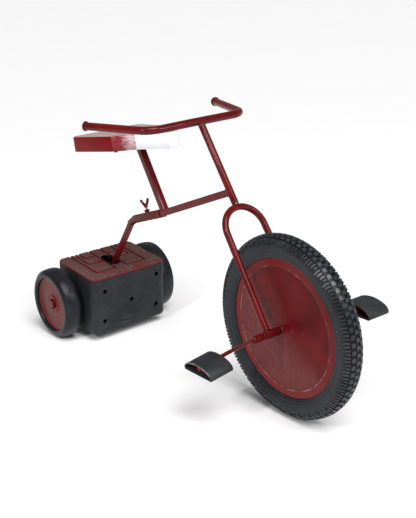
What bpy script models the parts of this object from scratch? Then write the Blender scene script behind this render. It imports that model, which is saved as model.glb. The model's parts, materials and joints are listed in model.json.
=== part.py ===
"""Children's tricycle: a large directly pedalled front wheel, a straight steering column with a U-shaped
fork, a telescoping single-tube frame, and a rear box between two small solid-tyred wheels.

Units are metres. +Z is up, the tricycle faces -Y and its right side is -X. The origin is on the ground
under the centre of the whole tricycle. Every object is one sub-part.
"""

import math

import bmesh
import bpy
from mathutils import Vector

# Driving dimensions ---------------------------------------------------------------------------------

GAP = 0.0003                    # clearance between touching pieces
FRONT_RADIUS = 0.205            # 16 inch class front tyre
REAR_RADIUS = 0.092
WHEELBASE = 0.733
FRONT_AXLE = Vector((0, FRONT_RADIUS - (WHEELBASE + FRONT_RADIUS + REAR_RADIUS) / 2, FRONT_RADIUS))
REAR_AXLE = Vector((0, FRONT_AXLE.y + WHEELBASE, REAR_RADIUS))

AXLE_RADIUS = 0.006
TUBE_SIDE = 0.016               # square frame tube
TUBE_WALL = 0.0015

# The steering column leans back through the front axle.
COLUMN_ANGLE = math.radians(55.9)
COLUMN_RADIUS = 0.008
COLUMN_WALL = 0.0012
STEERER_RADIUS = 0.0055
FORK_RADIUS = 0.0075
FORK_WALL = 0.0013
BLADE_X = 0.052                 # half the distance between the fork blades at the top
FOOT_X = 0.058                  # and at their feet
ARCH_CENTRE = 0.229             # distance along the column from the axle to the arch's centre
BAR_HEIGHT = 0.4895             # distance along the column from the axle to the handlebar
BAR_RADIUS = 0.009
BUSH_FLANGE = 0.002
BUSH_DEPTH = 0.012

# The frame's tubes, in the plane x = 0.
MAIN_SLOPE = math.radians(21.46)
SLEEVE_SLOPE = math.radians(18.6)
SEAT_TUBE_ANGLE = math.radians(58.73)
DOWN_TUBE_SLOPE = math.radians(53.6)
MAIN_START = 0.317              # distance along the column to the main tube's centre line
MAIN_LENGTH = 0.2678            # from the column to the seat tube
SLEEVE_START = 0.0135           # from the seat tube to the sleeve's mouth
SLEEVE_LENGTH = 0.1518          # from the seat tube to the corner above the down tube
MAIN_INSIDE = 0.128             # how far the main tube reaches behind the seat tube
SEAT_TUBE_LENGTH = 0.172
SLEEVE_SIDE = 0.0203
SLEEVE_BORE = 0.0167
SLEEVE_END = 0.012              # from the corner down to the sleeve's end on the down tube
SLEEVE_CHAMFER = 0.023          # from the corner forward to the start of the chamfer
DOWN_SIDE = 0.0127
BOLT_AT = 0.0775               # wing bolt, along the sleeve's line from the seat tube

# The front wheel.
RIM_OUTER = 0.155
RIM_INNER = 0.150
RIM_HALF = 0.0134
TYRE_HALF = 0.026
TYRE_MOUTH = 0.0100             # half the gap between the tyre's beads
TUBE_CENTRE = 0.1770            # radius to the middle of the inner tube
TUBE_ROOM = 0.0165              # radius of the room for it inside the tyre
TUBE_RADIUS = 0.0148
FRONT_SIDES = 40
REAR_SIDES = 28
VALVE_RADIUS = 0.0030
VALVE_BORE = 0.0014
DISC_THICK = 0.0015
VALVE_ANGLE = math.radians(86)
STEP_RADIUS = 0.137             # where the disc's flat outer band ends
SLEEVE_RADIUS = 0.009           # bearing sleeves at the fork's ends
SLEEVE_INNER_X = 0.0275
SLEEVE_OUTER_X = 0.0620
FRONT_AXLE_HALF = 0.0848

# Cranks and pedals. The cranks are clamped on, and aren't quite opposite each other.
CRANK_X = 0.090
CRANK_THROW = 0.0923
CRANK_ANGLE = {"right": math.radians(-32.9), "left": math.radians(157.3)}
SPINDLE_DROOP = {"right": math.radians(7.8), "left": 0.0}
CRANK_RADIUS = 0.0043
BOSS_RADIUS = 0.0078
BOSS_INNER_X = 0.0635
BOSS_OUTER_X = 0.0975
AXLE_BOLT_X = 0.0715
PEDAL_X = {"right": 0.1600, "left": 0.1375}
SPINDLE_PAST = 0.022            # how far the spindle reaches past the pedal's middle
PEDAL_LENGTH = 0.061
PEDAL_WIDTH = 0.092
PEDAL_HEIGHT = 0.026
PEDAL_BELOW = 0.0150            # the pedal's flat base under its spindle
PEDAL_WALL = 0.0035

# The rear box leans forward with its top.
BOX_CENTRE = FRONT_AXLE + Vector((0, 0.6962, 0.1044 - FRONT_RADIUS))
BOX_HALF = Vector((0.1134, 0.0873))
BOX_LOW = -0.0792
BOX_HIGH = 0.0738
BOX_PITCH = math.radians(5.0)
BOX_WALL = 0.0035
BOX_CORNER = 0.016
BOX_FLOOR = 0.006
BOX_FOOT = ((0.0, 0.0090), (0.0025, 0.0042), (0.0090, 0.0))    # (height, inset) round the bottom edge
MAT_THICK = 0.0050
SLOT_HALF_X = 0.0140
SLOT_FRONT = -0.029
SLOT_REAR = 0.038
HOLE_RADIUS = 0.0062
HOLES = ((-0.0774, 0.0407), (0.0836, 0.0474), (0.0038, -0.0027), (-0.0803, -0.0429), (0.0808, -0.0393))
HOUSING_RADIUS = 0.010
REAR_AXLE_HALF = 0.1685
REAR_TYRE_INNER_X = 0.126
REAR_TYRE_OUTER_X = 0.172
REAR_DISC_RADIUS = 0.0700

# The seat is tilted nose up. Its outline is measured along the seat from the seat tube.
SEAT_TILT = math.radians(7.46)
SEAT_ORIGIN = FRONT_AXLE + Vector((0, 0.5094, 0.5186 - FRONT_RADIUS))
SEAT_HEIGHT = 0.037
SEAT_WALL = 0.004
SEAT_REAR = 0.1585
SEAT_REAR_HALF = 0.1015
SEAT_REAR_ROUND = 0.022
SEAT_SHOULDER = (0.0809, 0.0062)
SEAT_WAIST = (0.0443, -0.0458)
SEAT_NOSE = (0.0150, -0.1418)

# Directions and stations derived from them -----------------------------------------------------------

X = Vector((1, 0, 0))


def slope(angle):
    """A unit vector in the plane x = 0, at an angle above the rearward direction."""
    return Vector((0, math.cos(angle), math.sin(angle)))


COLUMN = slope(COLUMN_ANGLE)
MAIN_DIR = slope(-MAIN_SLOPE)
SLEEVE_DIR = slope(-SLEEVE_SLOPE)
SLEEVE_UP = slope(math.pi / 2 - SLEEVE_SLOPE)
SEAT_TUBE_DIR = slope(SEAT_TUBE_ANGLE)
DOWN_DIR = slope(-DOWN_TUBE_SLOPE)
DOWN_OUT = slope(math.pi / 2 - DOWN_TUBE_SLOPE)


def on_column(distance):
    return FRONT_AXLE + COLUMN * distance


MAIN_FRONT = on_column(MAIN_START)
SEAT_BASE = MAIN_FRONT + MAIN_DIR * MAIN_LENGTH
CORNER = SEAT_BASE + SLEEVE_DIR * SLEEVE_LENGTH
CROWN = ARCH_CENTRE + BLADE_X + FORK_RADIUS
COLUMN_BOTTOM = CROWN + BUSH_FLANGE + 2 * GAP
COLUMN_TOP = BAR_HEIGHT - BAR_RADIUS - BUSH_FLANGE - 2 * GAP

# Materials: colour, roughness, metallic ---------------------------------------------------------------

MATERIALS = {
    "red_paint": ((0.20, 0.010, 0.012), 0.28, 0.0),
    "bright_steel": ((0.62, 0.61, 0.60), 0.30, 1.0),
    "bronze": ((0.45, 0.28, 0.12), 0.40, 1.0),
    "black_rubber": ((0.025, 0.027, 0.030), 0.65, 0.0),
    "black_plastic": ((0.032, 0.034, 0.038), 0.50, 0.0),
    "red_mat": ((0.23, 0.07, 0.06), 0.55, 0.0),
    "seat_red": ((0.24, 0.010, 0.012), 0.25, 0.0),
    "plywood": ((0.52, 0.36, 0.20), 0.70, 0.0),
}


def material(name):
    """The named Principled material, made the first time it is asked for."""
    found = bpy.data.materials.get(name)
    if found:
        return found
    colour, roughness, metallic = MATERIALS[name]
    made = bpy.data.materials.new(name)
    made.use_nodes = True
    shader = made.node_tree.nodes["Principled BSDF"]
    shader.inputs["Base Color"].default_value = (*colour, 1)
    shader.inputs["Roughness"].default_value = roughness
    shader.inputs["Metallic"].default_value = metallic
    return made


# Shape helpers ----------------------------------------------------------------------------------------

def add(name, bm, look, smooth=True, origin=None):
    """Turn a bmesh into a named object, with its origin moved to a joint's axis where one is given."""
    bmesh.ops.remove_doubles(bm, verts=bm.verts, dist=0.000001)
    bmesh.ops.recalc_face_normals(bm, faces=bm.faces)
    if bm.calc_volume(signed=True) < 0:
        bmesh.ops.reverse_faces(bm, faces=bm.faces)
    if origin is not None:
        bmesh.ops.translate(bm, verts=bm.verts, vec=-origin)
    mesh = bpy.data.meshes.new(name)
    bm.to_mesh(mesh)
    bm.free()
    if smooth:
        mesh.shade_smooth()
        mesh.set_sharp_from_angle(angle=math.radians(35))
    thing = bpy.data.objects.new(name, mesh)
    bpy.context.scene.collection.objects.link(thing)
    thing.data.materials.append(material(look))
    if origin is not None:
        thing.location = origin
    return thing


def combine(name, bm, target, operation):
    """Add a solid to the target object, or cut it away, with a hidden tool object."""
    bmesh.ops.recalc_face_normals(bm, faces=bm.faces)
    if bm.calc_volume(signed=True) < 0:
        bmesh.ops.reverse_faces(bm, faces=bm.faces)
    mesh = bpy.data.meshes.new(name)
    bm.to_mesh(mesh)
    bm.free()
    tool = bpy.data.objects.new(name, mesh)
    bpy.context.scene.collection.objects.link(tool)
    tool.hide_render = True
    tool.display_type = "WIRE"
    change = target.modifiers.new(name, "BOOLEAN")
    change.operation = operation
    change.object = tool


def cutter(name, bm, target):
    combine(name, bm, target, "DIFFERENCE")


def bridge(bm, lower, upper):
    """Join two closed rings of the same length with quads."""
    count = len(lower)
    for i in range(count):
        j = (i + 1) % count
        bm.faces.new((lower[i], lower[j], upper[j], upper[i]))


def across(direction):
    """Two unit vectors across a direction."""
    first = direction.cross(X) if abs(direction.x) < 0.9 else direction.cross(Vector((0, 0, 1)))
    first.normalize()
    return first, direction.cross(first).normalized()


def circle(bm, centre, direction, radius, sides, turn=0.0):
    """A ring of vertices around a centre."""
    u, v = across(direction)
    ring = []
    for i in range(sides):
        angle = turn + 2 * math.pi * i / sides
        ring.append(bm.verts.new(centre + u * (radius * math.cos(angle)) + v * (radius * math.sin(angle))))
    return ring


def lathe(profile, centre, direction, sides, bm=None):
    """Turn a profile of (distance along, radius) about a line.

    A profile that starts and ends at radius 0 gives a solid, and any other one is closed into a ring.
    """
    bm = bm or bmesh.new()
    rings = []
    for along, radius in profile:
        place = centre + direction * along
        if radius == 0:
            rings.append([bm.verts.new(place)])
        else:
            rings.append(circle(bm, place, direction, radius, sides))
    pairs = list(zip(rings, rings[1:]))
    if len(rings[0]) > 1:
        pairs.append((rings[-1], rings[0]))
    for lower, upper in pairs:
        if len(lower) == 1:
            lower = lower * sides
        if len(upper) == 1:
            upper = upper * sides
        for i in range(sides):
            j = (i + 1) % sides
            corners = []
            for corner in (lower[i], lower[j], upper[j], upper[i]):
                if corner not in corners:
                    corners.append(corner)
            bm.faces.new(corners)
    return bm


def rod(start, end, radius, sides=16, bm=None):
    """A solid round bar."""
    length = (end - start).length
    profile = [(0, 0), (0, radius), (length, radius), (length, 0)]
    return lathe(profile, start, (end - start).normalized(), sides, bm)


def pipe(start, end, outer, inner, sides=24):
    """A round tube with open ends."""
    length = (end - start).length
    profile = [(0, inner), (0, outer), (length, outer), (length, inner)]
    return lathe(profile, start, (end - start).normalized(), sides)


def swept(points, outer, inner, sides=12):
    """A tube bent along a line of points. An inner radius of 0 makes it a solid bar with flat ends."""
    bm = bmesh.new()
    tangents = []
    for i in range(len(points)):
        ahead = points[min(i + 1, len(points) - 1)]
        behind = points[max(i - 1, 0)]
        tangents.append((ahead - behind).normalized())
    side = across(tangents[0])[0]
    outside, inside = [], []
    for point, tangent in zip(points, tangents):
        side = (side - tangent * side.dot(tangent)).normalized()
        other = tangent.cross(side)
        for radius, rings in ((outer, outside), (inner, inside)):
            ring = []
            for i in range(sides):
                angle = 2 * math.pi * i / sides
                spoke = side * math.cos(angle) + other * math.sin(angle)
                if radius > 0:
                    ring.append(bm.verts.new(point + spoke * radius))
            rings.append(ring)
    for lower, upper in zip(outside, outside[1:]):
        bridge(bm, lower, upper)
    if inner == 0:
        bm.faces.new(outside[0])
        bm.faces.new(outside[-1])
        return bm
    for lower, upper in zip(inside, inside[1:]):
        bridge(bm, lower, upper)
    bridge(bm, inside[0], outside[0])
    bridge(bm, inside[-1], outside[-1])
    return bm


def rounded(points, radius, steps=6):
    """A line of points whose inner corners are replaced by arcs."""
    out = [points[0]]
    for before, corner, after in zip(points, points[1:], points[2:]):
        back = (before - corner).normalized()
        ahead = (after - corner).normalized()
        half = back.angle(ahead) / 2
        reach = radius / math.tan(half)
        centre = corner + (back + ahead).normalized() * (radius / math.sin(half))
        first = (corner + back * reach - centre).normalized()
        last = (corner + ahead * reach - centre).normalized()
        sweep = first.angle(last)
        square = (last - first * first.dot(last)).normalized()
        for i in range(steps + 1):
            angle = sweep * i / steps
            out.append(centre + (first * math.cos(angle) + square * math.sin(angle)) * radius)
    out.append(points[-1])
    return out


def square_ring(bm, centre, run, across_cut, side):
    """Four corners of a square tube, where a cutting plane with the given normal crosses it."""
    up = run.cross(X).normalized()
    corners = []
    for sx, su in ((-1, -1), (1, -1), (1, 1), (-1, 1)):
        start = centre + X * (sx * side / 2) + up * (su * side / 2)
        shift = (centre - start).dot(across_cut) / run.dot(across_cut)
        corners.append(bm.verts.new(start + run * shift))
    return corners


def square_tube(stations, side, wall):
    """A square tube in the plane x = 0. A station is a point, the tube's direction and a cutting plane."""
    bm = bmesh.new()
    outer = [square_ring(bm, *station, side) for station in stations]
    inner = [square_ring(bm, *station, side - 2 * wall) for station in stations]
    for rings in (outer, inner):
        for lower, upper in zip(rings, rings[1:]):
            bridge(bm, lower, upper)
    bridge(bm, inner[0], outer[0])
    bridge(bm, inner[-1], outer[-1])
    return bm


def prism(outline, lower, upper):
    """A solid between two faces, from an outline and a function for each face."""
    bm = bmesh.new()
    bottom = [bm.verts.new(lower(*point)) for point in outline]
    top = [bm.verts.new(upper(*point)) for point in outline]
    bm.faces.new(bottom)
    bm.faces.new(top)
    bridge(bm, bottom, top)
    return bm


def rounded_rectangle(half_x, half_y, radius, steps=4):
    points = []
    for turn, (sx, sy) in enumerate(((1, 1), (-1, 1), (-1, -1), (1, -1))):
        for i in range(steps + 1):
            angle = math.pi / 2 * (turn + i / steps)
            points.append((sx * (half_x - radius) + radius * math.cos(angle),
                           sy * (half_y - radius) + radius * math.sin(angle)))
    return points


def both_sides():
    return (("right", -1), ("left", 1))


# Frame ------------------------------------------------------------------------------------------------

def main_tube():
    front = MAIN_FRONT + MAIN_DIR * 0.002
    bend = (MAIN_DIR + SLEEVE_DIR).normalized()
    rear = SEAT_BASE + SLEEVE_DIR * MAIN_INSIDE
    stations = [(front, MAIN_DIR, MAIN_DIR), (SEAT_BASE, MAIN_DIR, bend), (rear, SLEEVE_DIR, SLEEVE_DIR)]
    tube = add("main_tube", square_tube(stations, TUBE_SIDE, TUBE_WALL), "red_paint", smooth=False)
    cope = rod(MAIN_FRONT - COLUMN * 0.03, MAIN_FRONT + COLUMN * 0.03, COLUMN_RADIUS + GAP, 24)
    cutter("main_tube_cope", cope, tube)


def seat_tube():
    up = SEAT_TUBE_DIR
    foot_plane = (MAIN_DIR + SLEEVE_DIR).cross(X).normalized()
    if foot_plane.z < 0:
        foot_plane = -foot_plane
    rise = (TUBE_SIDE / 2 + 2 * GAP) / up.dot(foot_plane)
    foot = SEAT_BASE + up * rise
    head = SEAT_BASE + up * SEAT_TUBE_LENGTH
    stations = [(foot, up, foot_plane), (head, up, up)]
    tube = add("seat_tube", square_tube(stations, TUBE_SIDE, TUBE_WALL), "red_paint", smooth=False)
    face = up.cross(X).normalized()
    if face.y > 0:
        face = -face
    hole = SEAT_BASE + up * 0.123
    cutter("seat_tube_hole", rod(hole, hole + face * 0.02, 0.0026, 12), tube)
    screw_start = hole + face * (0.0063 + GAP)
    add("seat_post_screw", rod(screw_start, screw_start + face * 0.0012, 0.0022, 10), "bright_steel")


def head_tube():
    start, end = on_column(COLUMN_BOTTOM), on_column(COLUMN_TOP)
    bore = COLUMN_RADIUS - COLUMN_WALL
    add("head_tube", pipe(start, end, COLUMN_RADIUS, bore), "red_paint")
    hole = STEERER_RADIUS + GAP
    shell = bore - GAP
    profile = [(0, hole), (0, COLUMN_RADIUS), (BUSH_FLANGE, COLUMN_RADIUS), (BUSH_FLANGE, shell),
               (BUSH_DEPTH, shell), (BUSH_DEPTH, hole)]
    add("head_bush_lower", lathe(profile, on_column(CROWN + GAP), COLUMN, 24), "bronze")
    add("head_bush_upper", lathe(profile, on_column(BAR_HEIGHT - BAR_RADIUS - GAP), -COLUMN, 24), "bronze")


# Fork and handlebar -----------------------------------------------------------------------------------

def fork():
    """A U-shaped tube whose feet are coped onto two bearing sleeves."""
    points = []
    arc_steps = 8
    blade_foot = math.sqrt(SLEEVE_RADIUS ** 2 - FORK_RADIUS ** 2) + 0.0045
    points.append(on_column(blade_foot) - X * FOOT_X)
    for i in range(arc_steps + 1):
        angle = math.pi * (1 - i / arc_steps)
        across_x = BLADE_X * math.cos(angle)
        points.append(on_column(ARCH_CENTRE + BLADE_X * math.sin(angle)) + X * across_x)
    points.append(on_column(blade_foot) + X * FOOT_X)
    arch = add("fork_arch", swept(points, FORK_RADIUS, FORK_RADIUS - FORK_WALL), "red_paint",
               origin=FRONT_AXLE)
    notch = rod(-X * 0.07, X * 0.07, SLEEVE_RADIUS + GAP, 24)
    bmesh.ops.translate(notch, verts=notch.verts, vec=FRONT_AXLE)
    cutter("fork_foot_notch", notch, arch)
    for side, sign in both_sides():
        inner = FRONT_AXLE + X * (sign * SLEEVE_INNER_X)
        outer = FRONT_AXLE + X * (sign * SLEEVE_OUTER_X)
        bore = 0.0075
        add(f"fork_sleeve_{side}", pipe(inner, outer, SLEEVE_RADIUS, bore), "red_paint", origin=FRONT_AXLE)
        hole = AXLE_RADIUS + GAP
        shell = bore - GAP
        length = SLEEVE_OUTER_X - SLEEVE_INNER_X - 0.002
        profile = [(0, hole), (0, 0.0088), (0.0015, 0.0088), (0.0015, shell), (length, shell), (length, hole)]
        start = FRONT_AXLE + X * (sign * (SLEEVE_INNER_X - 0.0015 - GAP))
        add(f"fork_bush_{side}", lathe(profile, start, X * sign, 24), "bronze", origin=FRONT_AXLE)


def steerer():
    """The steering shaft, coped onto the fork's arch and the handlebar."""
    bottom = on_column(CROWN - 0.004)
    top = on_column(BAR_HEIGHT - BAR_RADIUS + 0.004)
    shaft = add("steerer", rod(bottom, top, STEERER_RADIUS, 20), "bright_steel", origin=FRONT_AXLE)
    arch_steps = 12
    arch = []
    for i in range(arch_steps + 1):
        angle = math.pi * (0.75 - 0.5 * i / arch_steps)
        arch.append(on_column(ARCH_CENTRE + BLADE_X * math.sin(angle)) + X * (BLADE_X * math.cos(angle)))
    cutter("steerer_foot_cope", swept(arch, FORK_RADIUS + GAP, 0, 20), shaft)
    bar = on_column(BAR_HEIGHT)
    cutter("steerer_head_cope", rod(bar - X * 0.02, bar + X * 0.02, BAR_RADIUS + GAP, 24), shaft)


def handlebar():
    """A bar with a straight middle and two grips that are bent back, each closed by a cap."""
    middle = on_column(BAR_HEIGHT)
    corner_reach = Vector((0.130, 0.0085, -0.0025))
    end_reach = Vector((0.184, 0.1745, -0.0050))
    mirror = Vector((-1, 1, 1))
    line = [middle + end_reach * mirror, middle + corner_reach * mirror,
            middle + corner_reach, middle + end_reach]
    straight = rounded(line, 0.042, steps=5)
    centre = len(straight) // 2
    points = straight[:centre] + [middle - X * 0.012, middle + X * 0.012] + straight[centre:]
    add("handlebar", swept(points, BAR_RADIUS, BAR_RADIUS - 0.0015), "red_paint", origin=FRONT_AXLE)
    for side, sign in both_sides():
        flip = Vector((sign, 1, 1))
        tip = middle + end_reach * flip
        out = (end_reach * flip - corner_reach * flip).normalized()
        plug = BAR_RADIUS - 0.0015 - GAP
        profile = [(-0.010, 0), (-0.010, plug), (GAP, plug), (GAP, 0.0112), (0.0030, 0.0112),
                   (0.0042, 0.0095), (0.0042, 0)]
        add(f"bar_cap_{side}", lathe(profile, tip, out, 20), "red_paint", origin=FRONT_AXLE)


# Front wheel ------------------------------------------------------------------------------------------

def wheel_structure():
    axle = rod(FRONT_AXLE - X * FRONT_AXLE_HALF, FRONT_AXLE + X * FRONT_AXLE_HALF, AXLE_RADIUS, 20)
    add("front_axle", axle, "bright_steel", origin=FRONT_AXLE)
    hub = pipe(FRONT_AXLE - X * 0.0125, FRONT_AXLE + X * 0.0125, 0.013, AXLE_RADIUS + GAP, 24)
    add("wheel_hub", hub, "bright_steel", origin=FRONT_AXLE)
    rim = [(-RIM_HALF, RIM_INNER - 0.004), (-RIM_HALF, RIM_OUTER), (RIM_HALF, RIM_OUTER),
           (RIM_HALF, RIM_INNER - 0.004), (RIM_HALF - 0.0015, RIM_INNER - 0.004),
           (RIM_HALF - 0.0015, RIM_INNER), (-RIM_HALF + 0.0015, RIM_INNER),
           (-RIM_HALF + 0.0015, RIM_INNER - 0.004)]
    add("front_rim", lathe(rim, FRONT_AXLE, X, FRONT_SIDES), "red_paint", origin=FRONT_AXLE)


def wheel_discs():
    """Two pressed discs with a flat outer band, a step and a shallow dome that rises to the hub."""
    face = RIM_HALF + GAP
    hole = AXLE_RADIUS + GAP
    outline = [(face, RIM_OUTER), (face, STEP_RADIUS), (face - 0.0008, STEP_RADIUS - 0.003),
               (face + 0.0020, 0.075), (face + 0.0045, 0.016), (face + 0.0045, hole)]
    for side, sign in both_sides():
        front = [(along + DISC_THICK, radius) for along, radius in reversed(outline)]
        disc = lathe(outline + front, FRONT_AXLE, X * sign, FRONT_SIDES)
        add(f"wheel_disc_{side}", disc, "red_paint", origin=FRONT_AXLE)


def front_tyre():
    """An open casing: a round outside, a cavity for the inner tube, and two beads that meet the rim."""
    steps = 8
    bead = RIM_OUTER + GAP
    bead_half = 0.0175
    depth = FRONT_RADIUS - bead - 0.004
    outside = []
    for i in range(steps + 1):
        angle = math.pi * (i / steps - 0.5)
        height = bead + 0.004 + depth * math.cos(angle) ** 0.75 if 0 < i < steps else bead + 0.004
        outside.append((TYRE_HALF * math.sin(angle) if 0 < i < steps else bead_half * math.sin(angle), height))
    cavity = []
    cavity_steps = 7
    mouth = math.asin(TYRE_MOUTH / TUBE_ROOM)
    for i in range(cavity_steps + 1):
        angle = (math.pi - mouth) * (1 - 2 * i / cavity_steps)
        cavity.append((TUBE_ROOM * math.sin(angle), TUBE_CENTRE + TUBE_ROOM * math.cos(angle)))
    foot = [(bead_half, bead), (TYRE_MOUTH, bead)]
    foot_back = [(-TYRE_MOUTH, bead), (-bead_half, bead)]
    add("front_tyre", lathe(outside + foot + cavity + foot_back, FRONT_AXLE, X, FRONT_SIDES), "black_rubber",
        origin=FRONT_AXLE)


def ring(radius):
    """A solid ring inside the tyre."""
    bm = bmesh.new()
    around, sides = 24, 8
    rings = []
    for j in range(around):
        turn = 2 * math.pi * j / around
        spoke = Vector((0, math.cos(turn), math.sin(turn)))
        centre = FRONT_AXLE + spoke * TUBE_CENTRE
        section = [2 * math.pi * i / sides for i in range(sides)]
        rings.append([bm.verts.new(centre + spoke * (radius * math.sin(angle)) + X * (radius * math.cos(angle)))
                      for angle in section])
    for j in range(around):
        bridge(bm, rings[j], rings[(j + 1) % around])
    return bm


def inner_tube():
    """A hollow ring of rubber, whose valve passes through the rim and opens its inside."""
    out = slope(VALVE_ANGLE)
    tube = add("inner_tube", ring(TUBE_RADIUS), "black_rubber", origin=FRONT_AXLE)
    stem = rod(FRONT_AXLE + out * (RIM_INNER - 0.008), FRONT_AXLE + out * (TUBE_CENTRE - 0.0150), VALVE_RADIUS, 14)
    combine("valve_stem", stem, tube, "UNION")
    cutter("tube_inside", ring(TUBE_RADIUS - 0.0015), tube)
    bore = rod(FRONT_AXLE + out * (RIM_INNER - 0.012), FRONT_AXLE + out * (TUBE_CENTRE - 0.005), VALVE_BORE, 10)
    cutter("valve_bore", bore, tube)
    hole = rod(FRONT_AXLE + out * (RIM_INNER - 0.010), FRONT_AXLE + out * (RIM_OUTER + 0.002),
               VALVE_RADIUS + 2 * GAP, 16)
    cutter("valve_hole", hole, bpy.data.objects["front_rim"])


def crank_frame(side, sign):
    """A crank's elbow, its arm's direction and its spindle's direction."""
    angle, droop = CRANK_ANGLE[side], SPINDLE_DROOP[side]
    arm = slope(angle)
    outward = Vector((sign * math.cos(droop), 0, -math.sin(droop)))
    return FRONT_AXLE + X * (sign * CRANK_X) + arm * CRANK_THROW, arm, outward


def cranks():
    """Each crank is one bent rod. A boss clamps it to the axle with two bolts."""
    for side, sign in both_sides():
        elbow, arm, outward = crank_frame(side, sign)
        root = elbow - arm * CRANK_THROW
        spindle = (PEDAL_X[side] - CRANK_X) / math.cos(SPINDLE_DROOP[side]) + SPINDLE_PAST
        path = rounded([root - arm * (BOSS_RADIUS - GAP), elbow, elbow + outward * spindle], 0.010, steps=5)
        add(f"crank_rod_{side}", swept(path, CRANK_RADIUS, 0, 12), "red_paint", origin=FRONT_AXLE)
        length = BOSS_OUTER_X - BOSS_INNER_X
        boss_profile = [(0, 0), (0, BOSS_RADIUS), (length, BOSS_RADIUS), (length, 0)]
        start = FRONT_AXLE + X * (sign * BOSS_INNER_X)
        boss = add(f"crank_boss_{side}", lathe(boss_profile, start, X * sign, 20), "red_paint", origin=FRONT_AXLE)
        axle_end = FRONT_AXLE + X * (sign * (FRONT_AXLE_HALF + GAP))
        cutter(f"boss_bore_{side}", rod(FRONT_AXLE + X * (sign * 0.05), axle_end, AXLE_RADIUS + GAP, 20), boss)
        cutter(f"boss_cross_{side}", rod(root - arm * 0.02, root + arm * 0.02, CRANK_RADIUS + GAP, 16), boss)
        for name, reach in (("axle", AXLE_BOLT_X), ("arm", CRANK_X)):
            set_bolt(f"boss_bolt_{name}_{side}", FRONT_AXLE + X * (sign * reach), -arm)
        nut_start = elbow + outward * (spindle + GAP)
        nut = rod(nut_start, nut_start + outward * 0.0035, 0.0055, 12)
        add(f"spindle_nut_{side}", nut, "red_paint", origin=FRONT_AXLE)


def set_bolt(name, centre, way):
    """A hexagon-headed set bolt that bears on the boss from outside."""
    start = centre + way * (BOSS_RADIUS + GAP)
    profile = [(0, 0), (0, 0.0052), (0.0038, 0.0052), (0.0046, 0.0042), (0.0046, 0)]
    add(name, lathe(profile, start, way, 6), "red_paint", smooth=False, origin=FRONT_AXLE)


# Pedals -----------------------------------------------------------------------------------------------

def pedal_outline(inset):
    """A flat base and an arched top, as (across, up) from the spindle, inset by a wall."""
    half = PEDAL_WIDTH / 2 - inset
    base = -PEDAL_BELOW + inset
    rise = PEDAL_HEIGHT - 2 * inset
    corner = 0.005
    points = [(-half + corner, base), (half - corner, base), (half, base + corner)]
    steps = 10
    for i in range(1, steps):
        angle = math.pi * i / steps
        up = base + corner + (rise - corner) * math.sin(angle)
        points.append((half * math.cos(angle), up))
    points.append((-half, base + corner))
    return points


def pedals():
    """Each pedal is a rubber sleeve, open at its ends, over a plate that turns on the spindle."""
    back = Vector((0, 1, 0))
    for side, sign in both_sides():
        elbow, arm, outward = crank_frame(side, sign)
        droop = SPINDLE_DROOP[side]
        centre = elbow + outward * ((PEDAL_X[side] - CRANK_X) / math.cos(droop))
        up = Vector((sign * math.sin(droop), 0, math.cos(droop)))

        def place(reach):
            return lambda u, v: centre + outward * reach + back * u + up * v

        rubber = bmesh.new()
        rings = []
        end = PEDAL_LENGTH / 2
        for inset, reach in ((PEDAL_WALL, -end), (0, -end), (0, end), (PEDAL_WALL, end)):
            put = place(reach)
            rings.append([rubber.verts.new(put(*point)) for point in pedal_outline(inset)])
        for lower, upper in zip(rings, rings[1:] + rings[:1]):
            bridge(rubber, lower, upper)
        add(f"pedal_rubber_{side}", rubber, "black_rubber", origin=elbow)

        half = PEDAL_WIDTH / 2 - PEDAL_WALL - 0.0055
        low = -PEDAL_BELOW + PEDAL_WALL + GAP
        sheet_top = low + 0.0018
        outline = [(-half, low), (half, low), (half, sheet_top), (0.0105, sheet_top), (0.0075, -0.0020),
                   (0.0070, 0.0030), (0.0040, 0.0066), (-0.0040, 0.0066), (-0.0070, 0.0030),
                   (-0.0075, -0.0020), (-0.0105, sheet_top), (-half, sheet_top)]
        plate = add(f"pedal_plate_{side}", prism(outline, place(-0.026), place(SPINDLE_PAST - 0.001)), "red_paint",
                    origin=elbow)
        hole = rod(centre - outward * 0.05, centre + outward * 0.05, CRANK_RADIUS + GAP, 16)
        cutter(f"pedal_bore_{side}", hole, plate)


# Rear unit --------------------------------------------------------------------------------------------

def sleeve_point(along, up):
    return SEAT_BASE + SLEEVE_DIR * along + SLEEVE_UP * up


def rear_sleeve():
    """The outer tube of the telescoping joint, closed by a chamfered corner over the down tube."""
    half = SLEEVE_SIDE / 2
    down_half = DOWN_SIDE / 2
    start = sleeve_point(SLEEVE_START, 0)
    chamfer_top = sleeve_point(SLEEVE_LENGTH - SLEEVE_CHAMFER, half)
    chamfer_low = CORNER + DOWN_OUT * down_half + DOWN_DIR * SLEEVE_END
    heel = chamfer_low - DOWN_OUT * DOWN_SIDE
    # The throat is where the sleeve's underside meets the down tube's inner face.
    inner = CORNER - DOWN_OUT * down_half
    throat = inner + DOWN_DIR * ((half + (inner - CORNER).dot(SLEEVE_UP)) / -DOWN_DIR.dot(SLEEVE_UP))
    side_view = [start - SLEEVE_UP * half, start + SLEEVE_UP * half, chamfer_top, chamfer_low, heel, throat]
    bm = bmesh.new()
    left = [bm.verts.new(point - X * half) for point in side_view]
    right = [bm.verts.new(point + X * half) for point in side_view]
    bm.faces.new(left)
    bm.faces.new(right)
    bridge(bm, left, right)
    sleeve = add("rear_sleeve", bm, "red_paint", smooth=False)
    bore = square_tube_solid(start - SLEEVE_DIR * 0.01, sleeve_point(SLEEVE_LENGTH - SLEEVE_CHAMFER + 0.0015, 0), SLEEVE_BORE)
    cutter("sleeve_bore", bore, sleeve)
    bolt = sleeve_point(BOLT_AT, 0)
    cutter("sleeve_bolt_hole", rod(bolt + SLEEVE_UP * 0.004, bolt + SLEEVE_UP * 0.02, 0.0033, 12), sleeve)


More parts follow.
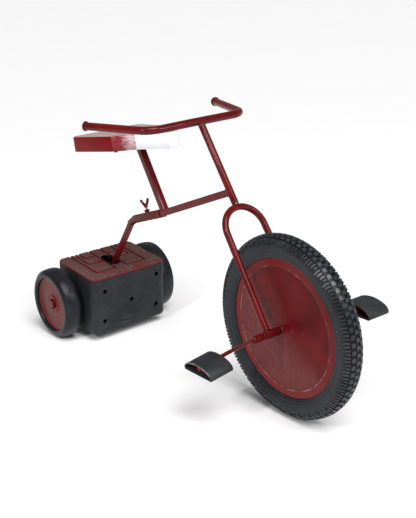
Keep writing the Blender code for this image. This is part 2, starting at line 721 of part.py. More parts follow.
def square_tube_solid(start, end, side):
    bm = bmesh.new()
    run = (end - start).normalized()
    lower = square_ring(bm, start, run, run, side)
    upper = square_ring(bm, end, run, run, side)
    bm.faces.new(lower)
    bm.faces.new(upper)
    bridge(bm, lower, upper)
    return bm


def down_tube():
    top = CORNER + DOWN_DIR * (SLEEVE_END + GAP)
    drop = (CORNER.z - REAR_AXLE.z) / -DOWN_DIR.z
    bottom = CORNER + DOWN_DIR * drop
    tube = add("down_tube", square_tube([(top, DOWN_DIR, DOWN_DIR), (bottom, DOWN_DIR, DOWN_DIR)],
                                        DOWN_SIDE, 0.0015), "red_paint", smooth=False)
    cope = rod(REAR_AXLE - X * 0.02, REAR_AXLE + X * 0.02, HOUSING_RADIUS + GAP, 24)
    cutter("down_tube_cope", cope, tube)


def clamp():
    """The threaded boss on the sleeve and the wing bolt that presses on the main tube."""
    base = sleeve_point(BOLT_AT, SLEEVE_SIDE / 2 + GAP)
    ring = [(0, 0.0037), (0, 0.0065), (0.0065, 0.0065), (0.0065, 0.0037)]
    add("clamp_nut", lathe(ring, base, SLEEVE_UP, 6), "red_paint", smooth=False)
    foot = sleeve_point(BOLT_AT, TUBE_SIDE / 2 + GAP)
    length = 0.0190
    profile = [(0, 0), (0, 0.0029), (length - 0.005, 0.0029), (length - 0.004, 0.0046),
               (length + 0.004, 0.0040), (length + 0.004, 0)]
    bolt = add("wing_bolt", lathe(profile, foot, SLEEVE_UP, 12), "red_paint", origin=foot)
    wings = bmesh.new()
    root = foot + SLEEVE_UP * (length - 0.001)
    for sign in (-1, 1):
        out = X * sign
        side_view = [root, root + out * 0.0050 - SLEEVE_UP * 0.0005, root + out * 0.0125 + SLEEVE_UP * 0.0130,
                     root + out * 0.0105 + SLEEVE_UP * 0.0168, root + out * 0.0070 + SLEEVE_UP * 0.0158,
                     root + out * 0.0010 + SLEEVE_UP * 0.0035]
        lower = [wings.verts.new(point - SLEEVE_DIR * 0.0015) for point in side_view]
        upper = [wings.verts.new(point + SLEEVE_DIR * 0.0015) for point in side_view]
        wings.faces.new(lower)
        wings.faces.new(upper)
        bridge(wings, lower, upper)
    combine("wings", wings, bolt, "UNION")


BOX_BACK = Vector((0, math.cos(BOX_PITCH), math.sin(BOX_PITCH)))
BOX_UP = Vector((0, -math.sin(BOX_PITCH), math.cos(BOX_PITCH)))


def in_box(x, back, up):
    return BOX_CENTRE + X * x + BOX_BACK * back + BOX_UP * up


def slot_outline():
    """The oval opening for the down tube, as (x, back)."""
    middle = (SLOT_FRONT + SLOT_REAR) / 2
    half = (SLOT_REAR - SLOT_FRONT) / 2
    return [(x, middle + back) for x, back in rounded_rectangle(SLOT_HALF_X, half, SLOT_HALF_X, steps=5)]


def in_box_at(up):
    """A function that places (x, back) at one height in the box."""
    return lambda x, back: in_box(x, back, up)


def rear_box():
    """A hollow moulded box with five holes in its front, an oval slot in its top and the axle through it."""
    body = bmesh.new()
    levels = [(BOX_LOW + height, inset) for height, inset in BOX_FOOT] + [(BOX_HIGH, 0.0)]
    rings = []
    for up, inset in levels:
        outline = rounded_rectangle(BOX_HALF.x - inset, BOX_HALF.y - inset, BOX_CORNER - inset)
        rings.append([body.verts.new(in_box(x, back, up)) for x, back in outline])
    for lower, upper in zip(rings, rings[1:]):
        bridge(body, lower, upper)
    body.faces.new(rings[0])
    body.faces.new(rings[-1])
    box = add("rear_box", body, "black_plastic")
    inside = rounded_rectangle(BOX_HALF.x - BOX_WALL, BOX_HALF.y - BOX_WALL, BOX_CORNER - BOX_WALL)
    room = prism(inside, in_box_at(BOX_LOW + BOX_FLOOR), in_box_at(BOX_HIGH - BOX_WALL))
    cutter("box_inside", room, box)
    holes = bmesh.new()
    for x, up in HOLES:
        start = in_box(x, -BOX_HALF.y - 0.005, up)
        rod(start, start + BOX_BACK * 0.012, HOLE_RADIUS, 14, holes)
    cutter("box_front_holes", holes, box)
    slot = slot_outline()
    cutter("box_slot", prism(slot, in_box_at(BOX_HIGH - 0.01), in_box_at(BOX_HIGH + 0.01)), box)
    reach = X * (BOX_HALF.x + 0.01)
    through = rod(REAR_AXLE - reach, REAR_AXLE + reach, AXLE_RADIUS + GAP, 20)
    cutter("box_axle_holes", through, box)


def step_mat():
    """The soft mat that covers the box's top, with the same slot."""
    low, high = BOX_HIGH + GAP, BOX_HIGH + GAP + MAT_THICK
    outline = rounded_rectangle(BOX_HALF.x - 0.0005, BOX_HALF.y - 0.0005, BOX_CORNER)
    mat = add("step_mat", prism(outline, in_box_at(low), in_box_at(high)), "red_mat")
    cutter("mat_slot", prism(slot_outline(), in_box_at(low - 0.01), in_box_at(high + 0.01)), mat)


def rear_axle():
    bar = rod(REAR_AXLE - X * REAR_AXLE_HALF, REAR_AXLE + X * REAR_AXLE_HALF, AXLE_RADIUS, 20)
    add("rear_axle", bar, "bright_steel")
    inner_wall = BOX_HALF.x - BOX_WALL - GAP
    housing = pipe(REAR_AXLE - X * inner_wall, REAR_AXLE + X * inner_wall, HOUSING_RADIUS, AXLE_RADIUS + GAP)
    add("axle_housing", housing, "bright_steel")
    for side, sign in both_sides():
        start = REAR_AXLE + X * (sign * (BOX_HALF.x + GAP))
        end_point = REAR_AXLE + X * (sign * (REAR_TYRE_INNER_X - 0.0012))
        add(f"axle_spacer_{side}", pipe(start, end_point, 0.012, AXLE_RADIUS + GAP, 20), "bright_steel")


def rear_wheels():
    for side, sign in both_sides():
        outward = X * sign
        inner, outer = REAR_TYRE_INNER_X, REAR_TYRE_OUTER_X
        bore = REAR_DISC_RADIUS + GAP
        tyre = [(inner, bore), (inner, REAR_RADIUS - 0.010), (inner + 0.004, REAR_RADIUS - 0.0025),
                (inner + 0.012, REAR_RADIUS), (outer - 0.015, REAR_RADIUS), (outer - 0.006, REAR_RADIUS - 0.0035),
                (outer - 0.0015, REAR_RADIUS - 0.0100), (outer, REAR_RADIUS - 0.0160),
                (outer - 0.0015, REAR_DISC_RADIUS + 0.002), (outer - 0.004, bore)]
        add(f"rear_tyre_{side}", lathe(tyre, REAR_AXLE, outward, REAR_SIDES), "black_rubber", origin=REAR_AXLE)
        hole = AXLE_RADIUS + GAP
        face = outer - 0.0080
        disc = [(face, REAR_DISC_RADIUS), (face - 0.003, 0.062), (face - 0.004, 0.030), (face - 0.001, 0.018),
                (face - 0.001, hole), (inner, hole), (inner, 0.013), (face - 0.014, 0.013),
                (face - 0.014, 0.060), (inner + 0.006, 0.062), (inner + 0.006, REAR_DISC_RADIUS)]
        add(f"rear_disc_{side}", lathe(disc, REAR_AXLE, outward, REAR_SIDES), "red_paint", origin=REAR_AXLE)
        cap_start = face - 0.001 + GAP
        cap = [(REAR_AXLE_HALF + GAP, 0), (REAR_AXLE_HALF + GAP, hole), (cap_start, hole), (cap_start, 0.0135),
               (cap_start + 0.0030, 0.0130), (cap_start + 0.0075, 0.0095), (cap_start + 0.0098, 0.0045),
               (cap_start + 0.0102, 0)]
        add(f"hub_cap_{side}", lathe(cap, REAR_AXLE, outward, 24), "red_paint")


# Seat -------------------------------------------------------------------------------------------------

SEAT_BACK = slope(-SEAT_TILT)
SEAT_UP = slope(math.pi / 2 - SEAT_TILT)


def on_seat(x, back, up):
    return SEAT_ORIGIN + X * x + SEAT_BACK * back + SEAT_UP * up


def seat_outline(inset):
    """Half of the saddle's outline is a rounded rear corner, a shoulder, a waist and the nose."""
    corner_steps = 4
    radius = SEAT_REAR_ROUND
    half = [(0.0, SEAT_REAR - 0.004)]
    for i in range(corner_steps + 1):
        angle = math.pi / 2 * (1 - i / corner_steps)
        half.append((SEAT_REAR_HALF - radius + radius * math.cos(angle),
                     SEAT_REAR - radius + radius * math.sin(angle)))
    half.append((SEAT_SHOULDER[0] + 0.004, SEAT_SHOULDER[1] + 0.010))
    half.append((SEAT_SHOULDER[0] - 0.004, SEAT_SHOULDER[1] - 0.008))
    half.append((SEAT_WAIST[0] + 0.004, SEAT_WAIST[1] + 0.006))
    half.append((SEAT_WAIST[0] - 0.004, SEAT_WAIST[1] - 0.010))
    half.append((SEAT_NOSE[0], SEAT_NOSE[1] + 0.008))
    half.append((SEAT_NOSE[0] - 0.007, SEAT_NOSE[1]))
    full = half + [(-x, y) for x, y in reversed(half) if x != 0]
    if inset == 0:
        return full
    return shrink(full, inset)


def shrink(points, inset):
    """Move each side of an outline inward by the same distance."""
    count = len(points)
    turning = sum(points[i][0] * points[(i + 1) % count][1] - points[(i + 1) % count][0] * points[i][1]
                  for i in range(count))
    inward = 1 if turning > 0 else -1
    out = []
    for i in range(count):
        here = Vector(points[i])
        before = (here - Vector(points[i - 1])).normalized()
        after = (Vector(points[(i + 1) % count]) - here).normalized()
        first = Vector((-before.y, before.x)) * inward
        second = Vector((-after.y, after.x)) * inward
        shift = (first + second) / (1 + first.dot(second))
        moved = here + shift * inset
        out.append((moved.x, moved.y))
    return out


def seat():
    whole = seat_outline(0)
    inner = seat_outline(SEAT_WALL)
    shell = add("seat_shell", prism(whole, lambda x, y: on_seat(x, y, 0), lambda x, y: on_seat(x, y, SEAT_HEIGHT)),
                "seat_red")
    room = prism(inner, lambda x, y: on_seat(x, y, -0.01), lambda x, y: on_seat(x, y, SEAT_HEIGHT - SEAT_WALL))
    cutter("seat_inside", room, shell)
    board_outline = seat_outline(SEAT_WALL + GAP)
    board_low, board_high = 0.0123, SEAT_HEIGHT - SEAT_WALL - GAP
    board = add("seat_board", prism(board_outline, lambda x, y: on_seat(x, y, board_low),
                                    lambda x, y: on_seat(x, y, board_high)), "plywood", smooth=False)
    plate_low, plate_high = 0.0090, board_low - GAP
    plate_outline = [(-0.020, -0.055), (0.020, -0.055), (0.024, 0.050), (-0.024, 0.050)]
    plate = prism(plate_outline, lambda x, y: on_seat(x, y, plate_low), lambda x, y: on_seat(x, y, plate_high))
    bracket = add("seat_bracket", plate, "red_paint", smooth=False)
    post_side = TUBE_SIDE - 2 * TUBE_WALL - 2 * GAP
    reach = (on_seat(0, 0, plate_low) - SEAT_BASE).dot(SEAT_UP) / SEAT_TUBE_DIR.dot(SEAT_UP)
    foot = SEAT_BASE + SEAT_TUBE_DIR * 0.075
    head = SEAT_BASE + SEAT_TUBE_DIR * (reach - GAP)
    stations = [(foot, SEAT_TUBE_DIR, SEAT_TUBE_DIR), (head, SEAT_TUBE_DIR, SEAT_UP)]
    add("seat_post", square_tube(stations, post_side, 0.0015), "bright_steel", smooth=False)
    holes = bmesh.new()
    board_holes = bmesh.new()
    for name, back in (("front", -0.043), ("rear", 0.038)):
        hole_foot = on_seat(0, back, plate_low - 0.005)
        rod(hole_foot, hole_foot + SEAT_UP * 0.02, 0.0032, 12, holes)
        rod(hole_foot, on_seat(0, back, board_low + 0.0125), 0.0032, 12, board_holes)
        head_at = on_seat(0, back, plate_low - GAP)
        profile = [(0, 0), (0, 0.0055), (0.0035, 0.0055), (0.0035, 0.0029), (0.018, 0.0029), (0.018, 0)]
        bolt_start = head_at - SEAT_UP * 0.0035
        add(f"seat_bolt_{name}", lathe(profile, bolt_start, SEAT_UP, 12), "bright_steel")
    cutter("bracket_holes", holes, bracket)
    cutter("board_holes", board_holes, board)


# Build ------------------------------------------------------------------------------------------------

def build():
    for thing in list(bpy.data.objects):
        bpy.data.objects.remove(thing)
    main_tube()
    seat_tube()
    head_tube()
    fork()
    steerer()
    handlebar()
    wheel_structure()
    wheel_discs()
    front_tyre()
    inner_tube()
    cranks()
    pedals()
    rear_sleeve()
    down_tube()
    clamp()
    rear_box()
    step_mat()
    rear_axle()
    rear_wheels()
    seat()


build()
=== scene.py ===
"""Looks of the children's tricycle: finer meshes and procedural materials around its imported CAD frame.

Units are metres. +Z is up, the tricycle faces -Y and its right side is -X.
"""

import json
import math

import bmesh
import bpy
from mathutils import Matrix, Vector, noise


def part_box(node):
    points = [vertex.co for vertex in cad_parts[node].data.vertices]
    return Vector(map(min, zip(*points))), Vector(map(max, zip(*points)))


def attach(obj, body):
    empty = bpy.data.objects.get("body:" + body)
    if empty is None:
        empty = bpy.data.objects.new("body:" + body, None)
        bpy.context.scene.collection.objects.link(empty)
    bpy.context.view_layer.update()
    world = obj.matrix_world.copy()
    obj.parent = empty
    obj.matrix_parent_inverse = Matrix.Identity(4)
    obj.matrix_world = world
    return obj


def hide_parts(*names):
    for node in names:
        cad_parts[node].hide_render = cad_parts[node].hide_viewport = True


X = Vector((1, 0, 0))
SIDES = (("right", -1), ("left", 1))
GAP = 0.0003

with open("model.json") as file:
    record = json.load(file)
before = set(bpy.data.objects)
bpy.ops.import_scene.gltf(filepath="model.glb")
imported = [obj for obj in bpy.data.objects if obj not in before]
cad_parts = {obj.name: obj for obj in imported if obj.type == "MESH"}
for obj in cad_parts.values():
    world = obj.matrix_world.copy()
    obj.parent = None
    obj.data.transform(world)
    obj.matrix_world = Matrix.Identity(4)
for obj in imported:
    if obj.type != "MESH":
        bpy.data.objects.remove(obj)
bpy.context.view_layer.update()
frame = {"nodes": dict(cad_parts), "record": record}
RECORD = frame["record"]
BODY_OF = {node: body for body, nodes in RECORD["behaviour"]["bodies"].items() for node in nodes}
SLOT_OF = {entry["node"]: entry["material_slot"] for entry in RECORD["subparts"]}
JOINT = {joint["name"]: joint for joint in RECORD["behaviour"]["joints"]}


def centre_of(node):
    low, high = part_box(node)
    return (Vector(low) + Vector(high)) / 2


def slope(degrees):
    """A unit vector in the plane x = 0, at an angle above the rearward direction."""
    angle = math.radians(degrees)
    return Vector((0, math.cos(angle), math.sin(angle)))


# Positions taken from the frame ------------------------------------------------------------------------

FRONT_AXLE = centre_of("front_axle")
REAR_AXLE = centre_of("rear_axle")
COLUMN = Vector(JOINT["steering"]["axis"])
SEAT_TUBE_DIR = Vector(JOINT["seat_height"]["axis"])
SLEEVE_DIR = Vector(JOINT["frame_length"]["axis"])
MOUNTS = {mount["name"]: mount for mount in RECORD["mounts"]}
SEAT_UP = Vector(MOUNTS["seat_top"]["axis"])
SEAT_BACK = SEAT_UP.cross(X).normalized()
BOX_UP = Vector(MOUNTS["step_top"]["axis"])
BOX_BACK = BOX_UP.cross(X).normalized()
FRONT_RADIUS = FRONT_AXLE.z
REAR_RADIUS = REAR_AXLE.z

# Dimensions shared with the CAD ------------------------------------------------------------------------

FORK_RADIUS = 0.0075
BLADE_X = 0.052
FOOT_X = 0.058
ARCH_CENTRE = 0.229
BAR_HEIGHT = 0.4895
BAR_RADIUS = 0.009
BAR_CORNER = Vector((0.130, 0.0085, -0.0025))
BAR_END = Vector((0.184, 0.1745, -0.0050))
RIM_RADIUS = 0.155
DISC_FACE = 0.0137
STEP_RADIUS = 0.137
SLEEVE_RADIUS = 0.009
SLEEVE_INNER_X = 0.0275
SLEEVE_OUTER_X = 0.0620
CRANK_X = 0.090
CRANK_RADIUS = 0.0043
BOSS_RADIUS = 0.0078
PEDAL_X = {"right": 0.1600, "left": 0.1375}
SPINDLE_PAST = 0.022
PEDAL_LENGTH = 0.061
PEDAL_WIDTH = 0.092
PEDAL_HEIGHT = 0.026
PEDAL_BELOW = 0.0150
PEDAL_WALL = 0.0035
REAR_DISC_RADIUS = 0.0700
REAR_INNER_X = 0.126
REAR_OUTER_X = 0.172
SEAT_HEIGHT = 0.037
SEAT_ORIGIN = FRONT_AXLE + Vector((0, 0.5094, 0.5186 - FRONT_RADIUS))
BOX_CENTRE = FRONT_AXLE + Vector((0, 0.6962, 0.1044 - FRONT_RADIUS))
BOX_TOP = 0.0738 + GAP + 0.0050
TUBE_SIDE = 0.016
DOWN_TUBE_SIDE = 0.0127
HEAD_TUBE_RADIUS = 0.008
WELD = 0.0014
WELD_LUMP = 0.0003
WELD_LUMPS_PER_METRE = 300
STEERER_WELD_RADIUS = 0.0056

# Dimensions of the details added here ------------------------------------------------------------------

TYRE_SECTION = FRONT_RADIUS - 0.0255    # radius to the middle of the tyre's section
CARCASS_HALF = 0.0245
CARCASS_RISE = 0.0222
CARCASS_LIMIT = 112                     # degrees from the crown to the end of the round section
TREAD_DEPTH = 0.0029
PITCHES = 78
DISC_THICKNESS = 0.0015
GROOVES = ((0.0750, -0.0470), (0.0620, 0.0100), (0.0500, 0.0480))    # each groove's side and front line
CENTRE_LINE = 0.0170
GROOVE_HALF = 0.0024
GROOVE_DEPTH = 0.0044
GROOVE_REAR = 0.095
THREAD_TURNS = 13
THREAD_PITCH = 0.0011

# Studio and camera -------------------------------------------------------------------------------------

WORLD_STRENGTH = 0.26
SUN_STRENGTH = 3.0
SUN_ANGLE = 38
SUN_PLACE = (-0.25, -1.15, 1.75)
FLOOR_SIZE = 60
STRIPS = (("left_strip", (-2.2, -0.6, 1.9), (0, -0.1, 0.35), 0.20, 24),
          ("right_strip", (1.0, -2.4, 1.7), (0, -0.2, 0.30), 0.24, 18))    # name, place, target, width, watts
CAMERA_PLACE = Vector((-1.3060, -1.7425, 1.0472))
CAMERA_YAW = -0.6547
CAMERA_PITCH = 0.339
CAMERA_ROLL = -0.0467
CAMERA_LENS = 68.87


def on_column(distance):
    return FRONT_AXLE + COLUMN * distance


def on_seat(x, back, up):
    return SEAT_ORIGIN + X * x + SEAT_BACK * back + SEAT_UP * up


def in_box(x, back, up):
    return BOX_CENTRE + X * x + BOX_BACK * back + BOX_UP * up


CROWN = ARCH_CENTRE + BLADE_X + FORK_RADIUS
MAIN_DIR = slope(-21.46)
DOWN_DIR = slope(-53.6)
MAIN_FRONT = on_column(0.317)
SEAT_BASE = MAIN_FRONT + MAIN_DIR * 0.2678
SLEEVE_CORNER = SEAT_BASE + SLEEVE_DIR * 0.1518


# Shader helpers ----------------------------------------------------------------------------------------

def add_node(tree, kind, inputs=None, **properties):
    """Add a shader node. An input's value may be a number, a colour, or another node's output."""
    made = tree.nodes.new(kind)
    for name, value in properties.items():
        setattr(made, name, value)
    for name, value in (inputs or {}).items():
        if isinstance(value, bpy.types.NodeSocket):
            tree.links.new(value, made.inputs[name])
        else:
            made.inputs[name].default_value = value
    return made


def start(name):
    """A new material, with its node tree, its shader and the object coordinates."""
    made = bpy.data.materials.new(name)
    made.use_nodes = True
    tree = made.node_tree
    coordinates = add_node(tree, "ShaderNodeTexCoord")
    return made, tree, tree.nodes["Principled BSDF"], coordinates.outputs["Object"]


def fractal(tree, place, scale, detail=4.0, rough=0.55, distortion=0.0):
    values = {"Vector": place, "Scale": scale, "Detail": detail, "Roughness": rough, "Distortion": distortion}
    return add_node(tree, "ShaderNodeTexNoise", values).outputs["Fac"]


def stretched(tree, place, factors, turn=(0, 0, 0)):
    values = {"Vector": place, "Scale": factors, "Rotation": turn}
    return add_node(tree, "ShaderNodeMapping", values).outputs["Vector"]


def maths(tree, operation, first, second=0.0):
    return add_node(tree, "ShaderNodeMath", {0: first, 1: second}, operation=operation).outputs[0]


def steps(tree, value, low, high):
    """0 under the low value and 1 over the high one, with a smooth change between."""
    values = {"Value": value, "From Min": low, "From Max": high}
    made = add_node(tree, "ShaderNodeMapRange", values, interpolation_type="SMOOTHSTEP")
    return made.outputs["Result"]


def mixed(tree, factor, first, second):
    made = add_node(tree, "ShaderNodeMix", data_type="RGBA")
    # A colour mix keeps its factor in input 0 and its two colours in inputs 6 and 7.
    for index, value in ((0, factor), (6, first), (7, second)):
        if isinstance(value, bpy.types.NodeSocket):
            tree.links.new(value, made.inputs[index])
        else:
            made.inputs[index].default_value = value if index == 0 else (*value, 1)
    return made.outputs[2]


def spread(tree, value, low, high):
    """Map 0..1 to another range."""
    values = {"Value": value, "To Min": low, "To Max": high}
    return add_node(tree, "ShaderNodeMapRange", values).outputs["Result"]


def bumped(tree, shader, height, strength, distance=0.0005):
    values = {"Height": height, "Strength": strength, "Distance": distance}
    made = add_node(tree, "ShaderNodeBump", values)
    tree.links.new(made.outputs["Normal"], shader.inputs["Normal"])


def vector_maths(tree, operation, first, second):
    return add_node(tree, "ShaderNodeVectorMath", {0: first, 1: second}, operation=operation)


def inverted(tree, value):
    """One minus a value."""
    return maths(tree, "SUBTRACT", 1.0, value)


def product(tree, *values):
    """The product of several values."""
    result = values[0]
    for value in values[1:]:
        result = maths(tree, "MULTIPLY", result, value)
    return result


def distance_from(tree, place, centre):
    return vector_maths(tree, "DISTANCE", place, centre).outputs["Value"]


def around_front_axle(tree, place):
    """The place seen from the front axle, its y and z alone, its radius, and its separate x, y and z."""
    offset = vector_maths(tree, "SUBTRACT", place, FRONT_AXLE).outputs[0]
    axes = add_node(tree, "ShaderNodeSeparateXYZ", {0: offset}).outputs
    flat = add_node(tree, "ShaderNodeCombineXYZ", {1: axes[1], 2: axes[2]}).outputs[0]
    radius = add_node(tree, "ShaderNodeVectorMath", {0: flat}, operation="LENGTH").outputs["Value"]
    return offset, flat, radius, axes


def along(tree, place, origin, direction):
    """How far a place is from an origin, along a direction."""
    offset = vector_maths(tree, "SUBTRACT", place, origin).outputs[0]
    return vector_maths(tree, "DOT_PRODUCT", offset, direction).outputs["Value"]


def facing(tree, direction):
    """How much the surface faces a direction, from -1 to 1."""
    normal = add_node(tree, "ShaderNodeTexCoord").outputs["Normal"]
    return vector_maths(tree, "DOT_PRODUCT", normal, direction).outputs["Value"]


# Materials ---------------------------------------------------------------------------------------------

def enamel(name="red_enamel", bright=(0.130, 0.0040, 0.0045), deep=(0.080, 0.0028, 0.0034), chips=0.735):
    """Brushed-on dark red gloss paint, with small chips down to dark steel."""
    made, tree, shader, place = start(name)
    broad = fractal(tree, place, 14, 5)
    fine = fractal(tree, place, 170, 3)
    colour = mixed(tree, steps(tree, broad, 0.38, 0.66), deep, bright)
    dust = steps(tree, fractal(tree, place, 46, 6, 0.7), 0.60, 0.78)
    colour = mixed(tree, product(tree, dust, 0.16), colour, (0.20, 0.036, 0.036))
    chip = steps(tree, fractal(tree, place, 120, 4, 0.62), chips, chips + 0.02)
    colour = mixed(tree, chip, colour, (0.035, 0.022, 0.020))
    tree.links.new(colour, shader.inputs["Base Color"])
    gloss = maths(tree, "ADD", spread(tree, broad, 0.15, 0.27), product(tree, chip, 0.35))
    tree.links.new(gloss, shader.inputs["Roughness"])
    shader.inputs["Specular IOR Level"].default_value = 0.20
    height = maths(tree, "SUBTRACT", product(tree, fine, 0.25), chip)
    bumped(tree, shader, height, 0.16, 0.0004)
    return made


def disc_paint():
    """The front discs' paint: deep red, turned paler low and to the rear by a painted reflection of the pale
    floor, scratched, with a chipped step that has painted highlight and painted shade along it.
    """
    made, tree, shader, place = start("disc_paint")
    offset, flat, radius, axes = around_front_axle(tree, place)
    cloud = fractal(tree, place, 16, 5, 0.6)
    grit = fractal(tree, place, 90, 6, 0.7)
    # Painted reflection of the pale floor: the paint turns paler low down and to the rear, broken up by a
    # cloud.
    low = product(tree, axes[2], -9.0)
    rear = product(tree, axes[1], 6.5)
    floor_reflection_mask = maths(tree, "ADD", maths(tree, "ADD", low, rear), product(tree, cloud, 1.1))
    floor_reflection_mask = steps(tree, floor_reflection_mask, 0.25, 1.05)
    red = mixed(tree, steps(tree, cloud, 0.35, 0.7), (0.130, 0.0028, 0.0032), (0.075, 0.0022, 0.0028))
    reflected_pale = mixed(tree, steps(tree, grit, 0.35, 0.7), (0.135, 0.024, 0.024), (0.170, 0.043, 0.042))
    colour = mixed(tree, product(tree, floor_reflection_mask, 0.92), red, reflected_pale)
    band = steps(tree, radius, STEP_RADIUS - 0.001, STEP_RADIUS + 0.001)
    colour = mixed(tree, product(tree, band, 0.45), colour, (0.185, 0.010, 0.010))
    # A pale line runs around the step, part worn chips and part painted highlight on its edge, with a dark
    # line of painted shade inside it, in the groove.
    near = maths(tree, "ABSOLUTE", maths(tree, "SUBTRACT", radius, STEP_RADIUS + 0.0008))
    line = inverted(tree, steps(tree, near, 0.0006, 0.0017))
    worn = steps(tree, fractal(tree, place, 34, 5, 0.7), 0.44, 0.62)
    colour = mixed(tree, product(tree, line, worn, 0.62), colour, (0.36, 0.23, 0.22))
    inner = maths(tree, "ABSOLUTE", maths(tree, "SUBTRACT", radius, STEP_RADIUS - 0.0028))
    shade = inverted(tree, steps(tree, inner, 0.0004, 0.0018))
    colour = mixed(tree, product(tree, shade, 0.55), colour, (0.040, 0.010, 0.010))
    # Fine upright scratches and rubs lie in front of the hub, and dark scuffs under it.
    rub_place = stretched(tree, offset, (1, 260, 24), (math.radians(-22), 0, 0))
    rubs = steps(tree, fractal(tree, rub_place, 1.0, 3, 0.6), 0.66, 0.72)
    patch = inverted(tree, steps(tree, distance_from(tree, flat, (0, -0.030, 0.012)), 0.012, 0.075))
    colour = mixed(tree, product(tree, rubs, patch, 0.75), colour, (0.30, 0.14, 0.14))
    scuff_place = stretched(tree, offset, (1, 95, 16), (math.radians(14), 0, 0))
    scuffs = steps(tree, fractal(tree, scuff_place, 1.0, 4, 0.6), 0.60, 0.66)
    under = inverted(tree, steps(tree, distance_from(tree, flat, (0, 0.000, -0.058)), 0.018, 0.060))
    colour = mixed(tree, product(tree, scuffs, under, 0.75), colour, (0.040, 0.030, 0.030))
    # A dark streak runs beside the fork blade, above the hub.
    smear_centre = vector_maths(tree, "SUBTRACT", flat, (0, 0.046, 0.034)).outputs[0]
    turned = stretched(tree, smear_centre, (1, 1, 1), (-math.radians(55.9), 0, 0))
    smear_place = stretched(tree, turned, (1, 1 / 0.046, 1 / 0.015))
    smear = add_node(tree, "ShaderNodeVectorMath", {0: smear_place}, operation="LENGTH").outputs["Value"]
    smear = inverted(tree, steps(tree, smear, 0.30, 1.0))
    smear = product(tree, smear, steps(tree, grit, 0.36, 0.58), 0.72)
    colour = mixed(tree, smear, colour, (0.030, 0.014, 0.013))
    pits = steps(tree, fractal(tree, place, 150, 4, 0.62), 0.72, 0.75)
    colour = mixed(tree, product(tree, pits, 0.7), colour, (0.045, 0.030, 0.028))
    tree.links.new(colour, shader.inputs["Base Color"])
    rough = maths(tree, "ADD", spread(tree, grit, 0.26, 0.42), product(tree, floor_reflection_mask, 0.14))
    tree.links.new(rough, shader.inputs["Roughness"])
    shader.inputs["Specular IOR Level"].default_value = 0.12
    rings = add_node(tree, "ShaderNodeTexWave", {"Vector": flat, "Scale": 60.0, "Distortion": 1.5},
                     wave_type="RINGS", rings_direction="X").outputs["Fac"]
    height = maths(tree, "ADD", product(tree, rings, 0.2), product(tree, grit, 0.6))
    bumped(tree, shader, maths(tree, "SUBTRACT", height, pits), 0.22, 0.0005)
    return made


def rubber(name, dark, light, rough=(0.42, 0.66), dusty=0.35, grain=420, shine=0.24):
    """Black rubber with a dusty bloom, with its node tree, its shader and its coordinates."""
    made, tree, shader, place = start(name)
    cloud = fractal(tree, place, 22, 6, 0.65)
    grit = fractal(tree, place, grain, 3, 0.6)
    colour = mixed(tree, steps(tree, cloud, 0.34, 0.68), dark, light)
    dust = product(tree, steps(tree, fractal(tree, place, 75, 6, 0.75), 0.55, 0.80), dusty)
    colour = mixed(tree, dust, colour, (0.075, 0.078, 0.086))
    tree.links.new(colour, shader.inputs["Base Color"])
    tree.links.new(spread(tree, cloud, *rough), shader.inputs["Roughness"])
    shader.inputs["Specular IOR Level"].default_value = shine
    bumped(tree, shader, grit, 0.22, 0.0005)
    return made, tree, shader, place


def tyre_rubber():
    """Rubber of the front tyre's casing, with painted shade making it near black between the tread blocks."""
    dark, light = (0.010, 0.011, 0.014), (0.019, 0.021, 0.026)
    made, tree, shader, place = rubber("tyre_look", dark, light, (0.32, 0.52))
    radius = around_front_axle(tree, place)[2]
    # Painted shade: near the crown the casing turns near black, between the tread blocks.
    crown = steps(tree, radius, FRONT_RADIUS - 0.0170, FRONT_RADIUS - 0.0110)
    base = shader.inputs["Base Color"].links[0].from_socket
    tree.links.new(mixed(tree, crown, base, (0.0022, 0.0023, 0.0028)), shader.inputs["Base Color"])
    return made


def pedal_rubber(side):
    """Pedal rubber, worn pale along the top of its open outer end."""
    dark, light = (0.016, 0.017, 0.020), (0.032, 0.033, 0.038)
    made, tree, shader, place = rubber(f"pedal_rubber_{side}_look", dark, light, (0.46, 0.68), 0.22, 300)
    out, centre = spindle(side)[1:]
    end = centre + out * (PEDAL_LENGTH / 2 - 0.0006)
    edge = steps(tree, along(tree, place, end, out), -0.0026, 0.0003)
    worn = steps(tree, fractal(tree, place, 70, 5, 0.7), 0.36, 0.60)
    top = steps(tree, along(tree, place, end, Vector((0, 0, 1))), -0.004, 0.004)
    amount = product(tree, edge, worn, top, 0.75)
    base = shader.inputs["Base Color"].links[0].from_socket
    tree.links.new(mixed(tree, amount, base, (0.30, 0.31, 0.31)), shader.inputs["Base Color"])
    return made


def box_plastic():
    """Charcoal moulded plastic, with a fine grain and a little scuffing."""
    made, tree, shader, place = start("charcoal_plastic")
    cloud = fractal(tree, place, 9, 6, 0.65)
    smear_place = stretched(tree, place, (46, 46, 60))
    smear = fractal(tree, smear_place, 1.0, 6, 0.72)
    colour = mixed(tree, steps(tree, cloud, 0.35, 0.7), (0.0090, 0.0100, 0.0130), (0.020, 0.022, 0.027))
    scuffed = product(tree, steps(tree, smear, 0.52, 0.72), 0.45)
    colour = mixed(tree, scuffed, colour, (0.050, 0.053, 0.060))
    marks_place = stretched(tree, place, (14, 14, 160), (0.4, 0.3, 0))
    marks = steps(tree, fractal(tree, marks_place, 1.0, 3, 0.6), 0.70, 0.74)
    colour = mixed(tree, product(tree, marks, 0.45), colour, (0.11, 0.115, 0.125))
    tree.links.new(colour, shader.inputs["Base Color"])
    shader.inputs["Specular IOR Level"].default_value = 0.22
    tree.links.new(spread(tree, smear, 0.36, 0.62), shader.inputs["Roughness"])
    bumped(tree, shader, fractal(tree, place, 520, 3, 0.6), 0.20, 0.0004)
    return made


